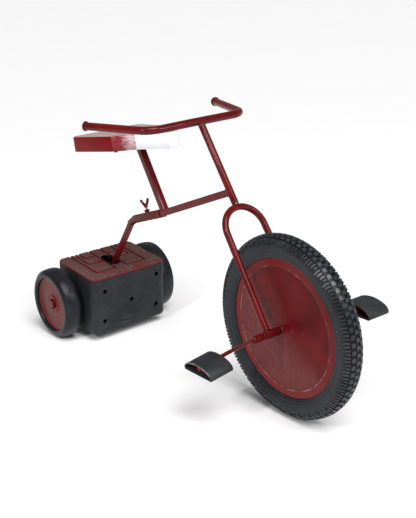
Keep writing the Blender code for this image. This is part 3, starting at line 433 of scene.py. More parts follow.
def mat_paint():
    """The step mat: red edges, a greyish worn top, and painted shade darkening the grooves."""
    made, tree, shader, place = start("step_mat_look")
    top = steps(tree, facing(tree, BOX_UP), 0.93, 0.995)
    height = along(tree, place, in_box(0, 0, BOX_TOP), BOX_UP)
    patches = fractal(tree, place, 42, 6, 0.7)
    grit = fractal(tree, place, 240, 4, 0.7)
    red = mixed(tree, steps(tree, patches, 0.4, 0.7), (0.150, 0.0075, 0.0080), (0.095, 0.0090, 0.0085))
    worn = mixed(tree, steps(tree, grit, 0.35, 0.65), (0.055, 0.022, 0.020), (0.150, 0.082, 0.078))
    rubbed = steps(tree, patches, 0.30, 0.52)
    colour = mixed(tree, product(tree, top, rubbed), red, worn)
    # Painted shade: the grooves turn near black below about 3 mm deep.
    deep = inverted(tree, steps(tree, height, -0.0042, -0.0030))
    colour = mixed(tree, deep, colour, (0.012, 0.012, 0.013))
    tree.links.new(colour, shader.inputs["Base Color"])
    tree.links.new(spread(tree, patches, 0.45, 0.72), shader.inputs["Roughness"])
    shader.inputs["Specular IOR Level"].default_value = 0.25
    rise = maths(tree, "ADD", grit, product(tree, patches, 0.8))
    bumped(tree, shader, rise, 0.30, 0.0005)
    return made


def seat_paint():
    """The seat: red at the rear, brushed-through white at the waist, white to the nose with painted shade
    greying its tip, and a pale top.
    """
    made, tree, shader, place = start("seat_look")
    back = along(tree, place, SEAT_ORIGIN, SEAT_BACK)
    up = along(tree, place, SEAT_ORIGIN, SEAT_UP)
    streak_place = stretched(tree, place, (26, 26, 420))
    streaks = fractal(tree, streak_place, 1.0, 5, 0.62)
    cloud = fractal(tree, place, 17, 5, 0.6)
    red = mixed(tree, steps(tree, streaks, 0.35, 0.7), (0.190, 0.0016, 0.0018), (0.135, 0.0016, 0.0020))
    white = mixed(tree, steps(tree, cloud, 0.4, 0.7), (0.86, 0.86, 0.88), (0.79, 0.79, 0.82))
    wear_place = stretched(tree, place, (60, 60, 300))
    grain = fractal(tree, wear_place, 1.0, 6, 0.72)
    wear = maths(tree, "ADD", product(tree, grain, 0.6), product(tree, cloud, 0.4))
    toward_waist = steps(tree, product(tree, back, -1.0), -0.004, 0.046)
    toward_top = steps(tree, up, 0.004, 0.034)
    rise = maths(tree, "ADD", product(tree, toward_waist, 0.17), product(tree, toward_top, 0.08))
    rubbed = steps(tree, maths(tree, "ADD", wear, rise), 0.52, 0.78)
    streaky = mixed(tree, product(tree, rubbed, 0.85), (0.200, 0.022, 0.028), (0.72, 0.56, 0.59))
    from_shoulder = inverted(tree, steps(tree, back, 0.0035, 0.0055))
    from_waist = inverted(tree, steps(tree, back, -0.0475, -0.0455))
    side = mixed(tree, from_shoulder, red, streaky)
    side = mixed(tree, from_waist, side, white)
    # Painted shade: the white turns grey-lavender toward the tip of the nose.
    nose = inverted(tree, steps(tree, back, -0.138, -0.130))
    side = mixed(tree, product(tree, nose, 0.4), side, (0.66, 0.66, 0.72))
    haze = mixed(tree, steps(tree, cloud, 0.35, 0.7), (0.36, 0.25, 0.24), (0.46, 0.37, 0.36))
    blush = steps(tree, back, 0.150, 0.158)
    haze = mixed(tree, product(tree, blush, 0.8), haze, (0.24, 0.06, 0.06))
    top = steps(tree, facing(tree, SEAT_UP), 0.75, 0.96)
    colour = mixed(tree, top, side, haze)
    tree.links.new(colour, shader.inputs["Base Color"])
    tree.links.new(spread(tree, cloud, 0.22, 0.40), shader.inputs["Roughness"])
    shader.inputs["Specular IOR Level"].default_value = 0.12
    bumped(tree, shader, streaks, 0.14, 0.0006)
    return made


def metal(name, colour, rough=0.34, turn=(0, 0, 0)):
    """Bright plated metal with fine lines."""
    made, tree, shader, place = start(name)
    lines = fractal(tree, stretched(tree, place, (30, 400, 400), turn), 1.0, 4, 0.6)
    cloud = fractal(tree, place, 40, 5, 0.6)
    dull = tuple(channel * 0.62 for channel in colour)
    tree.links.new(mixed(tree, steps(tree, cloud, 0.35, 0.75), colour, dull), shader.inputs["Base Color"])
    tree.links.new(spread(tree, lines, rough - 0.08, rough + 0.14), shader.inputs["Roughness"])
    shader.inputs["Metallic"].default_value = 1.0
    bumped(tree, shader, lines, 0.10, 0.0003)
    return made


def plywood():
    """Bare plywood, with its grain along Y."""
    made, tree, shader, place = start("plywood_look")
    grain_place = stretched(tree, place, (90, 6, 90))
    grain = fractal(tree, grain_place, 1.0, 6, 0.62, 0.6)
    colour = mixed(tree, steps(tree, grain, 0.3, 0.7), (0.42, 0.27, 0.14), (0.60, 0.43, 0.25))
    tree.links.new(colour, shader.inputs["Base Color"])
    tree.links.new(spread(tree, grain, 0.55, 0.8), shader.inputs["Roughness"])
    bumped(tree, shader, grain, 0.25, 0.0006)
    return made


def plain_black():
    """Near black: the colour of small dark parts, and painted shade for holes."""
    made, tree, shader, place = start("black_parts_and_hole_shade")
    cloud = fractal(tree, place, 200, 3)
    colour = mixed(tree, cloud, (0.004, 0.004, 0.004), (0.012, 0.012, 0.013))
    tree.links.new(colour, shader.inputs["Base Color"])
    shader.inputs["Roughness"].default_value = 0.8
    return made


ENAMEL = enamel()
WHEEL_ENAMEL = enamel("rear_disc_enamel", (0.150, 0.0030, 0.0035), (0.100, 0.0024, 0.0030), 0.75)
DISC = disc_paint()
TYRE = tyre_rubber()
# The tread blocks take a lighter, dustier copy of the tyre rubber; the extra lightness is a painted highlight
# on the blocks.
TREAD = rubber("tread_look", (0.013, 0.015, 0.019), (0.034, 0.038, 0.046), (0.20, 0.42), 0.55, shine=0.36)[0]
REAR_TYRE = rubber("rear_tyre_look", (0.007, 0.008, 0.010), (0.013, 0.014, 0.017), (0.24, 0.42), 0.22)[0]
BOX = box_plastic()
MAT = mat_paint()
SEAT = seat_paint()
STEEL = metal("plated_steel", (0.62, 0.61, 0.60))
PLYWOOD = plywood()
BLACK = plain_black()
LOOKS = {"red_paint": ENAMEL, "bare_steel": STEEL, "bush_bronze": ENAMEL, "black_rubber": TYRE,
         "tyre_rubber": TYRE, "box_plastic": BOX, "mat_red": MAT, "seat_skin": SEAT, "seat_plywood": PLYWOOD}
OTHER_LOOKS = {"seat_post_screw": BLACK}


# Shape helpers -----------------------------------------------------------------------------------------

def piece(name, bm, look, body, stands_for=(), sharp=35):
    """Make a closed mesh into an object that rides on a body."""
    bmesh.ops.remove_doubles(bm, verts=bm.verts, dist=0.0000005)
    bmesh.ops.recalc_face_normals(bm, faces=bm.faces)
    mesh = bpy.data.meshes.new(name)
    bm.to_mesh(mesh)
    bm.free()
    mesh.shade_smooth()
    mesh.set_sharp_from_angle(angle=math.radians(sharp))
    made = bpy.data.objects.new(name, mesh)
    bpy.context.scene.collection.objects.link(made)
    made.data.materials.append(look)
    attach(made, body)
    if stands_for:
        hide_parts(*stands_for)
    return made


def instead(node, bm, look=None, sharp=35):
    """A finer mesh that stands for one CAD node."""
    slot = SLOT_OF[node]
    return piece(f"{node}_fine", bm, look or LOOKS[slot], BODY_OF[node], (node,), sharp)


def bridge(bm, lower, upper):
    """Join two matching rings of vertices with a band of faces."""
    count = len(lower)
    for i in range(count):
        j = (i + 1) % count
        bm.faces.new((lower[i], lower[j], upper[j], upper[i]))


def across(direction):
    """Two unit vectors square to a direction and to each other."""
    first = direction.cross(X) if abs(direction.x) < 0.9 else direction.cross(Vector((0, 0, 1)))
    first.normalize()
    return first, direction.cross(first).normalized()


def lathe(profile, centre, direction, sides=48):
    """Turn a profile of (distance along, radius) about a line. If it starts at radius 0, it is a solid."""
    bm = bmesh.new()
    u, v = across(direction)
    rings = []
    for reach, radius in profile:
        place = centre + direction * reach
        if radius == 0:
            rings.append([bm.verts.new(place)] * sides)
            continue
        turns = [2 * math.pi * i / sides for i in range(sides)]
        rings.append([bm.verts.new(place + u * (radius * math.cos(turn)) + v * (radius * math.sin(turn)))
                      for turn in turns])
    pairs = list(zip(rings, rings[1:]))
    if profile[0][1] > 0:
        pairs.append((rings[-1], rings[0]))
    for lower, upper in pairs:
        for i in range(sides):
            j = (i + 1) % sides
            corners = list(dict.fromkeys((lower[i], lower[j], upper[j], upper[i])))
            bm.faces.new(corners)
    return bm


def softened(profile, radius, closed=True, parts=3):
    """Round the corners of a profile."""
    count = len(profile)
    out = []
    for i in range(count):
        here = Vector(profile[i])
        if not closed and i in (0, count - 1):
            out.append(tuple(here))
            continue
        before, after = Vector(profile[i - 1]), Vector(profile[(i + 1) % count])
        reach = min(radius, (before - here).length * 0.45, (after - here).length * 0.45)
        first = here + (before - here).normalized() * reach
        last = here + (after - here).normalized() * reach
        for k in range(parts + 1):
            t = k / parts
            out.append(tuple(first * (1 - t) ** 2 + here * (2 * t * (1 - t)) + last * t ** 2))
    return out


def swept(points, outer, inner=0.0, sides=24, closed=False):
    """A round bar or tube along a line of points."""
    bm = bmesh.new()
    count = len(points)
    skins = [outer] if inner == 0 else [outer, inner]
    rings = {radius: [] for radius in skins}
    side = None
    for i, point in enumerate(points):
        ahead = points[(i + 1) % count] if closed else points[min(i + 1, count - 1)]
        behind = points[i - 1] if closed else points[max(i - 1, 0)]
        tangent = (ahead - behind).normalized()
        side = across(tangent)[0] if side is None else (side - tangent * side.dot(tangent)).normalized()
        other = tangent.cross(side)
        turns = [2 * math.pi * k / sides for k in range(sides)]
        for radius in skins:
            spokes = [(side * math.cos(turn) + other * math.sin(turn)) * radius for turn in turns]
            rings[radius].append([bm.verts.new(point + spoke) for spoke in spokes])
    for radius in skins:
        for lower, upper in zip(rings[radius], rings[radius][1:]):
            bridge(bm, lower, upper)
    if closed:
        # The section comes back turned, so the last ring joins the nearest points of the first one.
        last, first = rings[outer][-1], rings[outer][0]
        shift = min(range(sides), key=lambda k: (first[k].co - last[0].co).length)
        bridge(bm, last, [first[(k + shift) % sides] for k in range(sides)])
    elif inner == 0:
        bm.faces.new(rings[outer][0])
        bm.faces.new(rings[outer][-1])
    else:
        bridge(bm, rings[inner][0], rings[outer][0])
        bridge(bm, rings[inner][-1], rings[outer][-1])
    return bm


def rounded(points, radius, parts=14):
    """A line of points whose inner corners are replaced by arcs."""
    out = [points[0]]
    for before, corner, after in zip(points, points[1:], points[2:]):
        back = (before - corner).normalized()
        ahead = (after - corner).normalized()
        half = back.angle(ahead) / 2
        reach = radius / math.tan(half)
        centre = corner + (back + ahead).normalized() * (radius / math.sin(half))
        first = (corner + back * reach - centre).normalized()
        last = (corner + ahead * reach - centre).normalized()
        sweep = first.angle(last)
        square = (last - first * first.dot(last)).normalized()
        for i in range(parts + 1):
            angle = sweep * i / parts
            out.append(centre + (first * math.cos(angle) + square * math.sin(angle)) * radius)
    out.append(points[-1])
    return out


def loft(rings):
    """A closed body through rings of points, with a flat face at each end."""
    bm = bmesh.new()
    made = [[bm.verts.new(point) for point in ring] for ring in rings]
    for lower, upper in zip(made, made[1:]):
        bridge(bm, lower, upper)
    bm.faces.new(made[0])
    bm.faces.new(made[-1])
    return bm


def copied(node):
    """The CAD node's own shape, without needless edges."""
    bm = bmesh.new()
    bm.from_mesh(frame["nodes"][node].data)
    bmesh.ops.remove_doubles(bm, verts=bm.verts, dist=0.000002)
    bmesh.ops.dissolve_limit(bm, angle_limit=math.radians(1), verts=bm.verts, edges=bm.edges)
    return bm


def bevelled(node, width, min_length=0.0, angle=30, parts=3):
    """The CAD node's own shape with its outer edges rounded."""
    bm = copied(node)
    edges = [edge for edge in bm.edges if len(edge.link_faces) == 2 and edge.is_convex
             and edge.calc_face_angle(0) > math.radians(angle) and edge.calc_length() >= min_length]
    bmesh.ops.bevel(bm, geom=edges, offset=width, segments=parts, profile=0.5, affect="EDGES",
                    clamp_overlap=True)
    return bm


def boolean(target, tool_bm, operation="DIFFERENCE"):
    """Cut or join a tool mesh at once, and leave no modifier."""
    mesh = bpy.data.meshes.new("tool")
    bmesh.ops.recalc_face_normals(tool_bm, faces=tool_bm.faces)
    tool_bm.to_mesh(mesh)
    tool_bm.free()
    tool = bpy.data.objects.new("tool", mesh)
    bpy.context.scene.collection.objects.link(tool)
    change = target.modifiers.new("change", "BOOLEAN")
    change.operation = operation
    change.object = tool
    settle(target)
    bpy.data.objects.remove(tool)


def soften(thing, width):
    """Round an object's sharp edges at once."""
    change = thing.modifiers.new("soften", "BEVEL")
    change.width = width
    change.segments = 2
    change.limit_method = "ANGLE"
    change.angle_limit = math.radians(40)
    settle(thing)


def settle(thing):
    """Put an object's modifiers into its mesh."""
    graph = bpy.context.evaluated_depsgraph_get()
    result = bpy.data.meshes.new_from_object(thing.evaluated_get(graph))
    thing.modifiers.clear()
    thing.data = result
    result.shade_smooth()
    result.set_sharp_from_angle(angle=math.radians(40))


# Welds -------------------------------------------------------------------------------------------------

def weld(name, ring, body, size=0.0013, seed=0.0):
    """A lumpy painted weld bead along a closed ring of points."""
    bm = swept(ring, size, sides=8, closed=True)
    for vert in bm.verts:
        place = vert.co * WELD_LUMPS_PER_METRE + Vector((seed, seed, seed))
        # Each axis reads the noise at its own place, so that the three shifts are unrelated.
        shifts = [noise.noise(place + X * apart) for apart in (0, 20, 40)]
        vert.co += Vector(shifts) * WELD_LUMP
    piece(name, bm, ENAMEL, body, sharp=80)


def round_section(radius, direction, count=40):
    u, v = across(direction)
    return [(u * math.cos(2 * math.pi * i / count) + v * math.sin(2 * math.pi * i / count)) * radius
            for i in range(count)]


def square_section(side, direction, count=10, corner=0.0016):
    """Points around a square tube with softened corners, square to a direction."""
    up = direction.cross(X).normalized()
    half = side / 2 + 0.0002
    outline = []
    for turn in range(4):
        for k in range(count):
            share = -1 + 2 * k / count
            reach = half - corner * max(0.0, abs(share) - 0.75) * 1.5
            u, v = share * half, reach
            for _ in range(turn):
                u, v = v, -u
            outline.append(X * u + up * v)
    return outline


def onto_round(section, base, direction, target, target_dir, radius):
    """Slide each point of a section along a direction until it meets a round tube."""
    out = []
    for spoke in section:
        from_target = base + spoke - target
        step = direction - target_dir * direction.dot(target_dir)
        offset = from_target - target_dir * from_target.dot(target_dir)
        a, b, c = step.dot(step), 2 * offset.dot(step), offset.dot(offset) - radius * radius
        root = math.sqrt(max(b * b - 4 * a * c, 0.0))
        options = ((-b + root) / (2 * a), (-b - root) / (2 * a))
        out.append(base + spoke + direction * min(options, key=abs))
    return out


def onto_plane(section, base, direction, through, normal):
    """Slide each point of a section along a direction until it meets a plane."""
    return [base + spoke + direction * ((through - base - spoke).dot(normal) / direction.dot(normal))
            for spoke in section]


# Fork and handlebar ------------------------------------------------------------------------------------

def fork():
    """The bent arch and blades, the axle sleeves at their feet, and the welds."""
    blade_foot = 0.0094
    arc_parts = 40
    points = [on_column(blade_foot) - X * FOOT_X]
    for i in range(arc_parts + 1):
        angle = math.pi * (1 - i / arc_parts)
        points.append(on_column(ARCH_CENTRE + BLADE_X * math.sin(angle)) + X * (BLADE_X * math.cos(angle)))
    points.append(on_column(blade_foot) + X * FOOT_X)
    instead("fork_arch", swept(points, FORK_RADIUS, FORK_RADIUS - 0.0013, 28))
    for side, sign in SIDES:
        foot = FRONT_AXLE + X * (sign * FOOT_X)
        ring = onto_round(round_section(FORK_RADIUS, COLUMN), foot + COLUMN * 0.008, COLUMN, FRONT_AXLE, X,
                          SLEEVE_RADIUS)
        weld(f"fork_foot_weld_{side}", ring, "fork", WELD, sign)
        sleeve = [(SLEEVE_INNER_X, 0.0075), (SLEEVE_INNER_X, SLEEVE_RADIUS), (SLEEVE_OUTER_X, SLEEVE_RADIUS),
                  (SLEEVE_OUTER_X, 0.0075)]
        instead(f"fork_sleeve_{side}", lathe(softened(sleeve, 0.0008), FRONT_AXLE, X * sign, 40))
    crown = on_column(ARCH_CENTRE + BLADE_X)
    section = round_section(STEERER_WELD_RADIUS, COLUMN)
    ring = onto_round(section, crown + COLUMN * 0.007, COLUMN, crown, X, FORK_RADIUS)
    weld("fork_crown_weld", ring, "fork", WELD, 4.0)


def handlebar():
    """The bent bar, its end caps and its weld."""
    middle = on_column(BAR_HEIGHT)
    mirror = Vector((-1, 1, 1))
    line = [middle + BAR_END * mirror, middle + BAR_CORNER * mirror, middle + BAR_CORNER, middle + BAR_END]
    path = rounded(line, 0.042)
    centre = len(path) // 2
    path = path[:centre] + [middle - X * 0.02, middle + X * 0.02] + path[centre:]
    instead("handlebar", swept(path, BAR_RADIUS, BAR_RADIUS - 0.0015, 32))
    for side, sign in SIDES:
        flip = Vector((sign, 1, 1))
        tip = middle + BAR_END * flip
        out = (BAR_END * flip - BAR_CORNER * flip).normalized()
        plug = BAR_RADIUS - 0.0015 - GAP
        cap = [(-0.010, 0), (-0.010, plug), (GAP, plug), (GAP, 0.0112), (0.0042, 0.0112), (0.0042, 0)]
        instead(f"bar_cap_{side}", lathe(softened(cap, 0.0014, closed=False), tip, out, 40))
    section = round_section(STEERER_WELD_RADIUS, COLUMN)
    ring = onto_round(section, middle - COLUMN * 0.009, COLUMN, middle, X, BAR_RADIUS)
    weld("bar_weld", ring, "fork", WELD, 2.0)


# Front wheel -------------------------------------------------------------------------------------------

def front_discs():
    """Pressed discs: a flat outer band, a small groove, and a shallow dome that rises to the hub."""
    face = DISC_FACE
    skin = [(face, RIM_RADIUS), (face, STEP_RADIUS + 0.0010), (face - 0.0006, STEP_RADIUS - 0.0010),
            (face - 0.0009, STEP_RADIUS - 0.0030), (face - 0.0004, STEP_RADIUS - 0.0055),
            (face + 0.0006, 0.118), (face + 0.0020, 0.085), (face + 0.0034, 0.050), (face + 0.0043, 0.026),
            (face + 0.0045, 0.016), (face + 0.0045, 0.0064)]
    thick = DISC_THICKNESS
    front = [(reach + thick, radius) for reach, radius in reversed(skin[1:])]
    profile = skin + front + [(face + thick, RIM_RADIUS - 0.0004), (face + thick * 0.6, RIM_RADIUS)]
    for side, sign in SIDES:
        instead(f"wheel_disc_{side}", lathe(profile, FRONT_AXLE, X * sign, 128), DISC, sharp=50)
        for number, (turn, radius) in enumerate(((86, 0.1465), (97, 0.1455), (70, 0.1450))):
            spoke = slope(turn)
            seat = FRONT_AXLE + spoke * radius + X * (sign * (face + thick - 0.0004))
            size = 0.0026 if number == 0 else 0.0014
            dome = [(0, 0), (0, size), (0.0009, size * 0.8), (0.0013, size * 0.35), (0.0014, 0)]
            look = DISC if number == 0 else BLACK
            piece(f"disc_rivet_{side}_{number}", lathe(dome, seat, X * sign, 16), look, "front_wheel")
        ring = [FRONT_AXLE + X * (sign * (face + 0.0062)) + spoke for spoke in round_section(0.0074, X)]
        weld(f"disc_hub_weld_{side}", ring, "front_wheel", WELD, 7.0 + sign)




def carcass_point(theta, phi, lift=0.0):
    """A point on the carcass: theta across from the crown, phi around the wheel, lifted off the surface."""
    x = CARCASS_HALF * math.sin(theta)
    rise = CARCASS_RISE * math.cos(theta)
    out = Vector((math.sin(theta) / CARCASS_HALF, math.cos(theta) / CARCASS_RISE))
    out.normalize()
    spoke = Vector((0, math.cos(phi), math.sin(phi)))
    return FRONT_AXLE + X * (x + out.x * lift) + spoke * (TYRE_SECTION + rise + out.y * lift)


def front_tyre():
    """The tyre's casing, with its tread."""
    profile = []
    limit = math.radians(CARCASS_LIMIT)
    parts = 30
    for i in range(parts + 1):
        theta = -limit + 2 * limit * i / parts
        profile.append((CARCASS_HALF * math.sin(theta), TYRE_SECTION + CARCASS_RISE * math.cos(theta)))
    bead = RIM_RADIUS + GAP
    # A raised ring runs round each sidewall near the bead.
    wall = [(0.0222, 0.1685), (0.0226, 0.1672), (0.0216, 0.1655), (0.0208, 0.1640), (0.0208, 0.1615),
            (0.0200, 0.1600), (0.0188, 0.1590), (0.0182, 0.1572), (0.0178, bead + 0.0006), (0.0172, bead)]
    inside = [(0.0100, bead), (0.0100, 0.1639), (0.0150, 0.1690), (0.0165, 0.1770), (0.0145, 0.1860),
              (0.0080, 0.1915), (0.0, 0.1935)]
    inside += [(-x, r) for x, r in reversed(inside[:-1])]
    whole = profile + wall + inside + [(-x, r) for x, r in reversed(wall)]
    instead("front_tyre", lathe(whole, FRONT_AXLE, X, 160), TYRE, sharp=40)
    tread()


def tread_block(bm, outline, phi, height, taper=0.86):
    """A block that stands on the carcass. The outline is (degrees across, share of a pitch)."""
    pitch = 2 * math.pi / PITCHES
    middle_across = sum(a for a, _ in outline) / len(outline)
    middle_round = sum(b for _, b in outline) / len(outline)
    foot, head = [], []
    for a, b in outline:
        foot.append(bm.verts.new(carcass_point(math.radians(a), phi + b * pitch, -0.0012)))
        top_a = middle_across + (a - middle_across) * taper
        top_b = middle_round + (b - middle_round) * taper
        head.append(bm.verts.new(carcass_point(math.radians(top_a), phi + top_b * pitch, height)))
    bridge(bm, foot, head)
    bm.faces.new(foot)
    bm.faces.new(head)


def tread():
    """Chevron blocks on the crown, slanted blocks beside them, and long and short lugs on the shoulders."""
    crown = [(-12, -0.30), (0, -0.46), (12, -0.30), (12, 0.26), (0, 0.12), (-12, 0.26)]
    middle = [(15, -0.34), (25, -0.44), (35, -0.26), (35, 0.34), (25, 0.20), (15, 0.30)]
    bm = bmesh.new()
    for i in range(PITCHES):
        phi = 2 * math.pi * i / PITCHES
        tread_block(bm, crown, phi, TREAD_DEPTH)
        reach = 78 if i % 2 else 66
        lugs = [[(38, -0.34), (52, -0.42), (reach, -0.36), (reach, -0.08), (52, -0.10), (38, -0.02)],
                [(40, 0.12), (52, 0.06), (reach - 8, 0.10), (reach - 8, 0.36), (52, 0.38), (40, 0.44)]]
        for sign in (-1, 1):
            half = math.pi / PITCHES
            tread_block(bm, [(sign * a, b) for a, b in middle], phi + half, TREAD_DEPTH)
            for lug in lugs:
                tread_block(bm, [(sign * a, b) for a, b in lug], phi + half * 0.6, TREAD_DEPTH * 0.92, 0.86)
    piece("front_tyre_tread", bm, TREAD, "front_wheel", sharp=25)


def cranks():
    """Bent crank rods in their bosses, with softened bolts and nuts."""
    for side, sign in SIDES:
        elbow, out, centre = spindle(side)
        root = FRONT_AXLE + X * (sign * CRANK_X)
        arm = (elbow - root).normalized()
        path = rounded([root - arm * (BOSS_RADIUS - GAP), elbow, centre + out * SPINDLE_PAST], 0.010, 10)
        instead(f"crank_rod_{side}", swept(path, CRANK_RADIUS, 0, 24))
        instead(f"crank_boss_{side}", bevelled(f"crank_boss_{side}", 0.0012))
        instead(f"spindle_nut_{side}", bevelled(f"spindle_nut_{side}", 0.0008))
        for name in ("axle", "arm"):
            instead(f"boss_bolt_{name}_{side}", bevelled(f"boss_bolt_{name}_{side}", 0.0006, angle=20))


def spindle(side):
    """A crank's elbow, its spindle's direction and the middle of its pedal."""
    joint = JOINT[f"pedal_{side}_spin"]
    elbow, out = Vector(joint["pos_m"]), Vector(joint["axis"])
    return elbow, out, elbow + out * ((PEDAL_X[side] - CRANK_X) / abs(out.x))


def pedal_outline(inset, corner=0.004):
    """A flat base and an arched top, as (across, up) from the spindle."""
    half = PEDAL_WIDTH / 2 - inset
    base = -PEDAL_BELOW + inset
    rise = PEDAL_HEIGHT - 2 * inset
    points = []
    for k in range(5):
        angle = -math.pi / 2 * (1 - k / 4)
        points.append((half - corner + corner * math.cos(angle), base + corner + corner * math.sin(angle)))
    parts = 28
    for i in range(1, parts):
        angle = math.pi * i / parts
        points.append((half * math.cos(angle), base + corner + (rise - corner) * math.sin(angle)))
    mirrored = [(-u, v) for u, v in reversed(points[:5])]
    return points + mirrored


def pedals():
    """Hollow rubber pedals, each on a bare plate."""
    back = Vector((0, 1, 0))
    for side, _ in SIDES:
        out, centre = spindle(side)[1:]
        up = back.cross(out)
        if up.z < 0:
            up = -up
        half = PEDAL_LENGTH / 2
        sections = [(-half, 0.0010), (-half + 0.0010, 0.0), (0.0, 0.0), (half - 0.0012, 0.0), (half, 0.0012),
                    (half, PEDAL_WALL - 0.0008), (half - 0.0010, PEDAL_WALL), (0.0, PEDAL_WALL),
                    (-half + 0.0010, PEDAL_WALL), (-half, PEDAL_WALL - 0.0008)]
        bm = bmesh.new()
        rings = [[bm.verts.new(centre + out * reach + back * u + up * v) for u, v in pedal_outline(inset)]
                 for reach, inset in sections]
        for lower, upper in zip(rings, rings[1:] + rings[:1]):
            bridge(bm, lower, upper)
        instead(f"pedal_rubber_{side}", bm, pedal_rubber(side), 40)
        instead(f"pedal_plate_{side}", bevelled(f"pedal_plate_{side}", 0.0004))


# Rear unit ---------------------------------------------------------------------------------------------

def rear_wheels():
    """Solid tyres on pressed discs, with a low cap over each end of the axle."""
    inner, outer = REAR_INNER_X, REAR_OUTER_X
    bore = REAR_DISC_RADIUS + GAP
    top = REAR_RADIUS
    tyre = [(inner, bore), (inner, top - 0.010), (inner + 0.004, top - 0.0022), (inner + 0.012, top),
            (outer - 0.020, top), (outer - 0.0068, top - 0.0022), (outer - 0.0010, top - 0.0105),
            (outer, top - 0.0150), (outer - 0.0008, REAR_DISC_RADIUS + 0.0030), (outer - 0.0034, bore)]
    face = outer - 0.0080
    hole = 0.0063
    disc = [(face, REAR_DISC_RADIUS), (face - 0.0014, 0.0665), (face - 0.0034, 0.0600),
            (face - 0.0040, 0.0400), (face - 0.0034, 0.0260), (face - 0.0012, 0.0215),
            (face - 0.0010, 0.0165), (face - 0.0010, hole), (inner, hole), (inner, 0.013),
            (face - 0.014, 0.013), (face - 0.014, 0.060), (inner + 0.006, 0.062),
            (inner + 0.006, REAR_DISC_RADIUS)]
    start_x = face - 0.0010 + GAP
    cap = [(0.1688, 0), (0.1688, hole), (start_x, hole), (start_x, 0.0135), (start_x + 0.0042, 0.0130),
           (start_x + 0.0064, 0.0112), (start_x + 0.0064, 0.0098), (start_x + 0.0060, 0.0086),
           (start_x + 0.0063, 0.0040), (start_x + 0.0064, 0)]
    for side, sign in SIDES:
        tyre_mesh = lathe(softened(tyre, 0.0020, parts=4), REAR_AXLE, X * sign, 112)
        disc_mesh = lathe(softened(disc, 0.0014), REAR_AXLE, X * sign, 96)
        cap_mesh = lathe(softened(cap, 0.0008, closed=False), REAR_AXLE, X * sign, 48)
        instead(f"rear_tyre_{side}", tyre_mesh, REAR_TYRE, 60)
        instead(f"rear_disc_{side}", disc_mesh, WHEEL_ENAMEL, 60)
        instead(f"hub_cap_{side}", cap_mesh, WHEEL_ENAMEL, 60)




def groove_outline(sign):
    """The nested grooves of one half of the mat, joined into a single comb that is open at the rear."""
    half = GROOVE_HALF
    outline = [(CENTRE_LINE - half, GROOVE_REAR), (CENTRE_LINE - half, GROOVES[0][1] - half)]
    for x, back in GROOVES:
        outline += [(x + half, back - half), (x + half, GROOVE_REAR), (x - half, GROOVE_REAR),
                    (x - half, back + half), (CENTRE_LINE + half, back + half)]
        following = [other for _, other in GROOVES if other > back]
        outline.append((CENTRE_LINE + half, following[0] - half if following else GROOVE_REAR))
    return [(sign * x, back) for x, back in outline]


def step_mat():
    """The mat on the box, cut by nested grooves that run out at the rear."""
    mat = instead("step_mat", copied("step_mat"), MAT)
    for sign in (-1, 1):
        outline = groove_outline(sign)
        low = [in_box(x, back, BOX_TOP - GROOVE_DEPTH) for x, back in outline]
        high = [in_box(x, back, BOX_TOP + 0.004) for x, back in outline]
        boolean(mat, loft([low, high]))
    soften(mat, 0.0007)


def rear_unit():
    """The box, the sleeve and the tube between them."""
    instead("rear_box", bevelled("rear_box", 0.0012, angle=40), BOX)
    instead("rear_sleeve", bevelled("rear_sleeve", 0.0010, 0.006, angle=20))
    instead("down_tube", bevelled("down_tube", 0.0012, 0.010, angle=20))
    instead("clamp_nut", bevelled("clamp_nut", 0.0005))
    seam = SLEEVE_CORNER + DOWN_DIR * 0.0121
    ring = [seam + spoke for spoke in square_section(DOWN_TUBE_SIDE, DOWN_DIR)]
    weld("down_tube_weld", ring, "rear_unit", 0.0011, 9.0)


# Clamp -------------------------------------------------------------------------------------------------

def wing_bolt():
    """A thumb screw with two square-ended wings, a bare thread and a painted neck."""
    joint = JOINT["wing_bolt_turn"]
    up = Vector(joint["axis"])
    foot = Vector(joint["pos_m"]) - up * (0.03 - 0.0083)
    thread = [(0.0, 0.0)]
    for i in range(THREAD_TURNS * 2 + 1):
        thread.append((0.0002 + i * THREAD_PITCH / 2, 0.0025 if i % 2 else 0.0029))
    thread.append((0.0004 + THREAD_TURNS * THREAD_PITCH, 0.0))
    piece("wing_bolt_thread", lathe(thread, foot, up, 20), STEEL, "wing_bolt", sharp=60)
    hub = [(0.0137, 0), (0.0137, 0.0042), (0.0150, 0.0048), (0.0200, 0.0044), (0.0224, 0.0034), (0.0230, 0)]
    bolt = instead("wing_bolt", lathe(softened(hub, 0.0006, closed=False), foot, up, 28), sharp=40)
    root = foot + up * 0.0180
    side_view = [(0.0, -0.0010), (0.0050, -0.0006), (0.0078, 0.0040), (0.0122, 0.0118), (0.0130, 0.0138),
                 (0.0122, 0.0156), (0.0100, 0.0172), (0.0084, 0.0170), (0.0070, 0.0152), (0.0034, 0.0080),
                 (0.0016, 0.0056), (0.0, 0.0046)]
    middle = Vector((0.0075, 0.0080))
    for sign in (-1, 1):
        rings = []
        for reach, inset in ((-0.0021, 0.12), (-0.0015, 0.0), (0.0015, 0.0), (0.0021, 0.12)):
            points = [Vector(point).lerp(middle, inset if point[0] > 0 else 0) for point in side_view]
            rings.append([root + X * (sign * a) + up * b + SLEEVE_DIR * reach for a, b in points])
        boolean(bolt, loft(rings), "UNION")


# Front frame -------------------------------------------------------------------------------------------

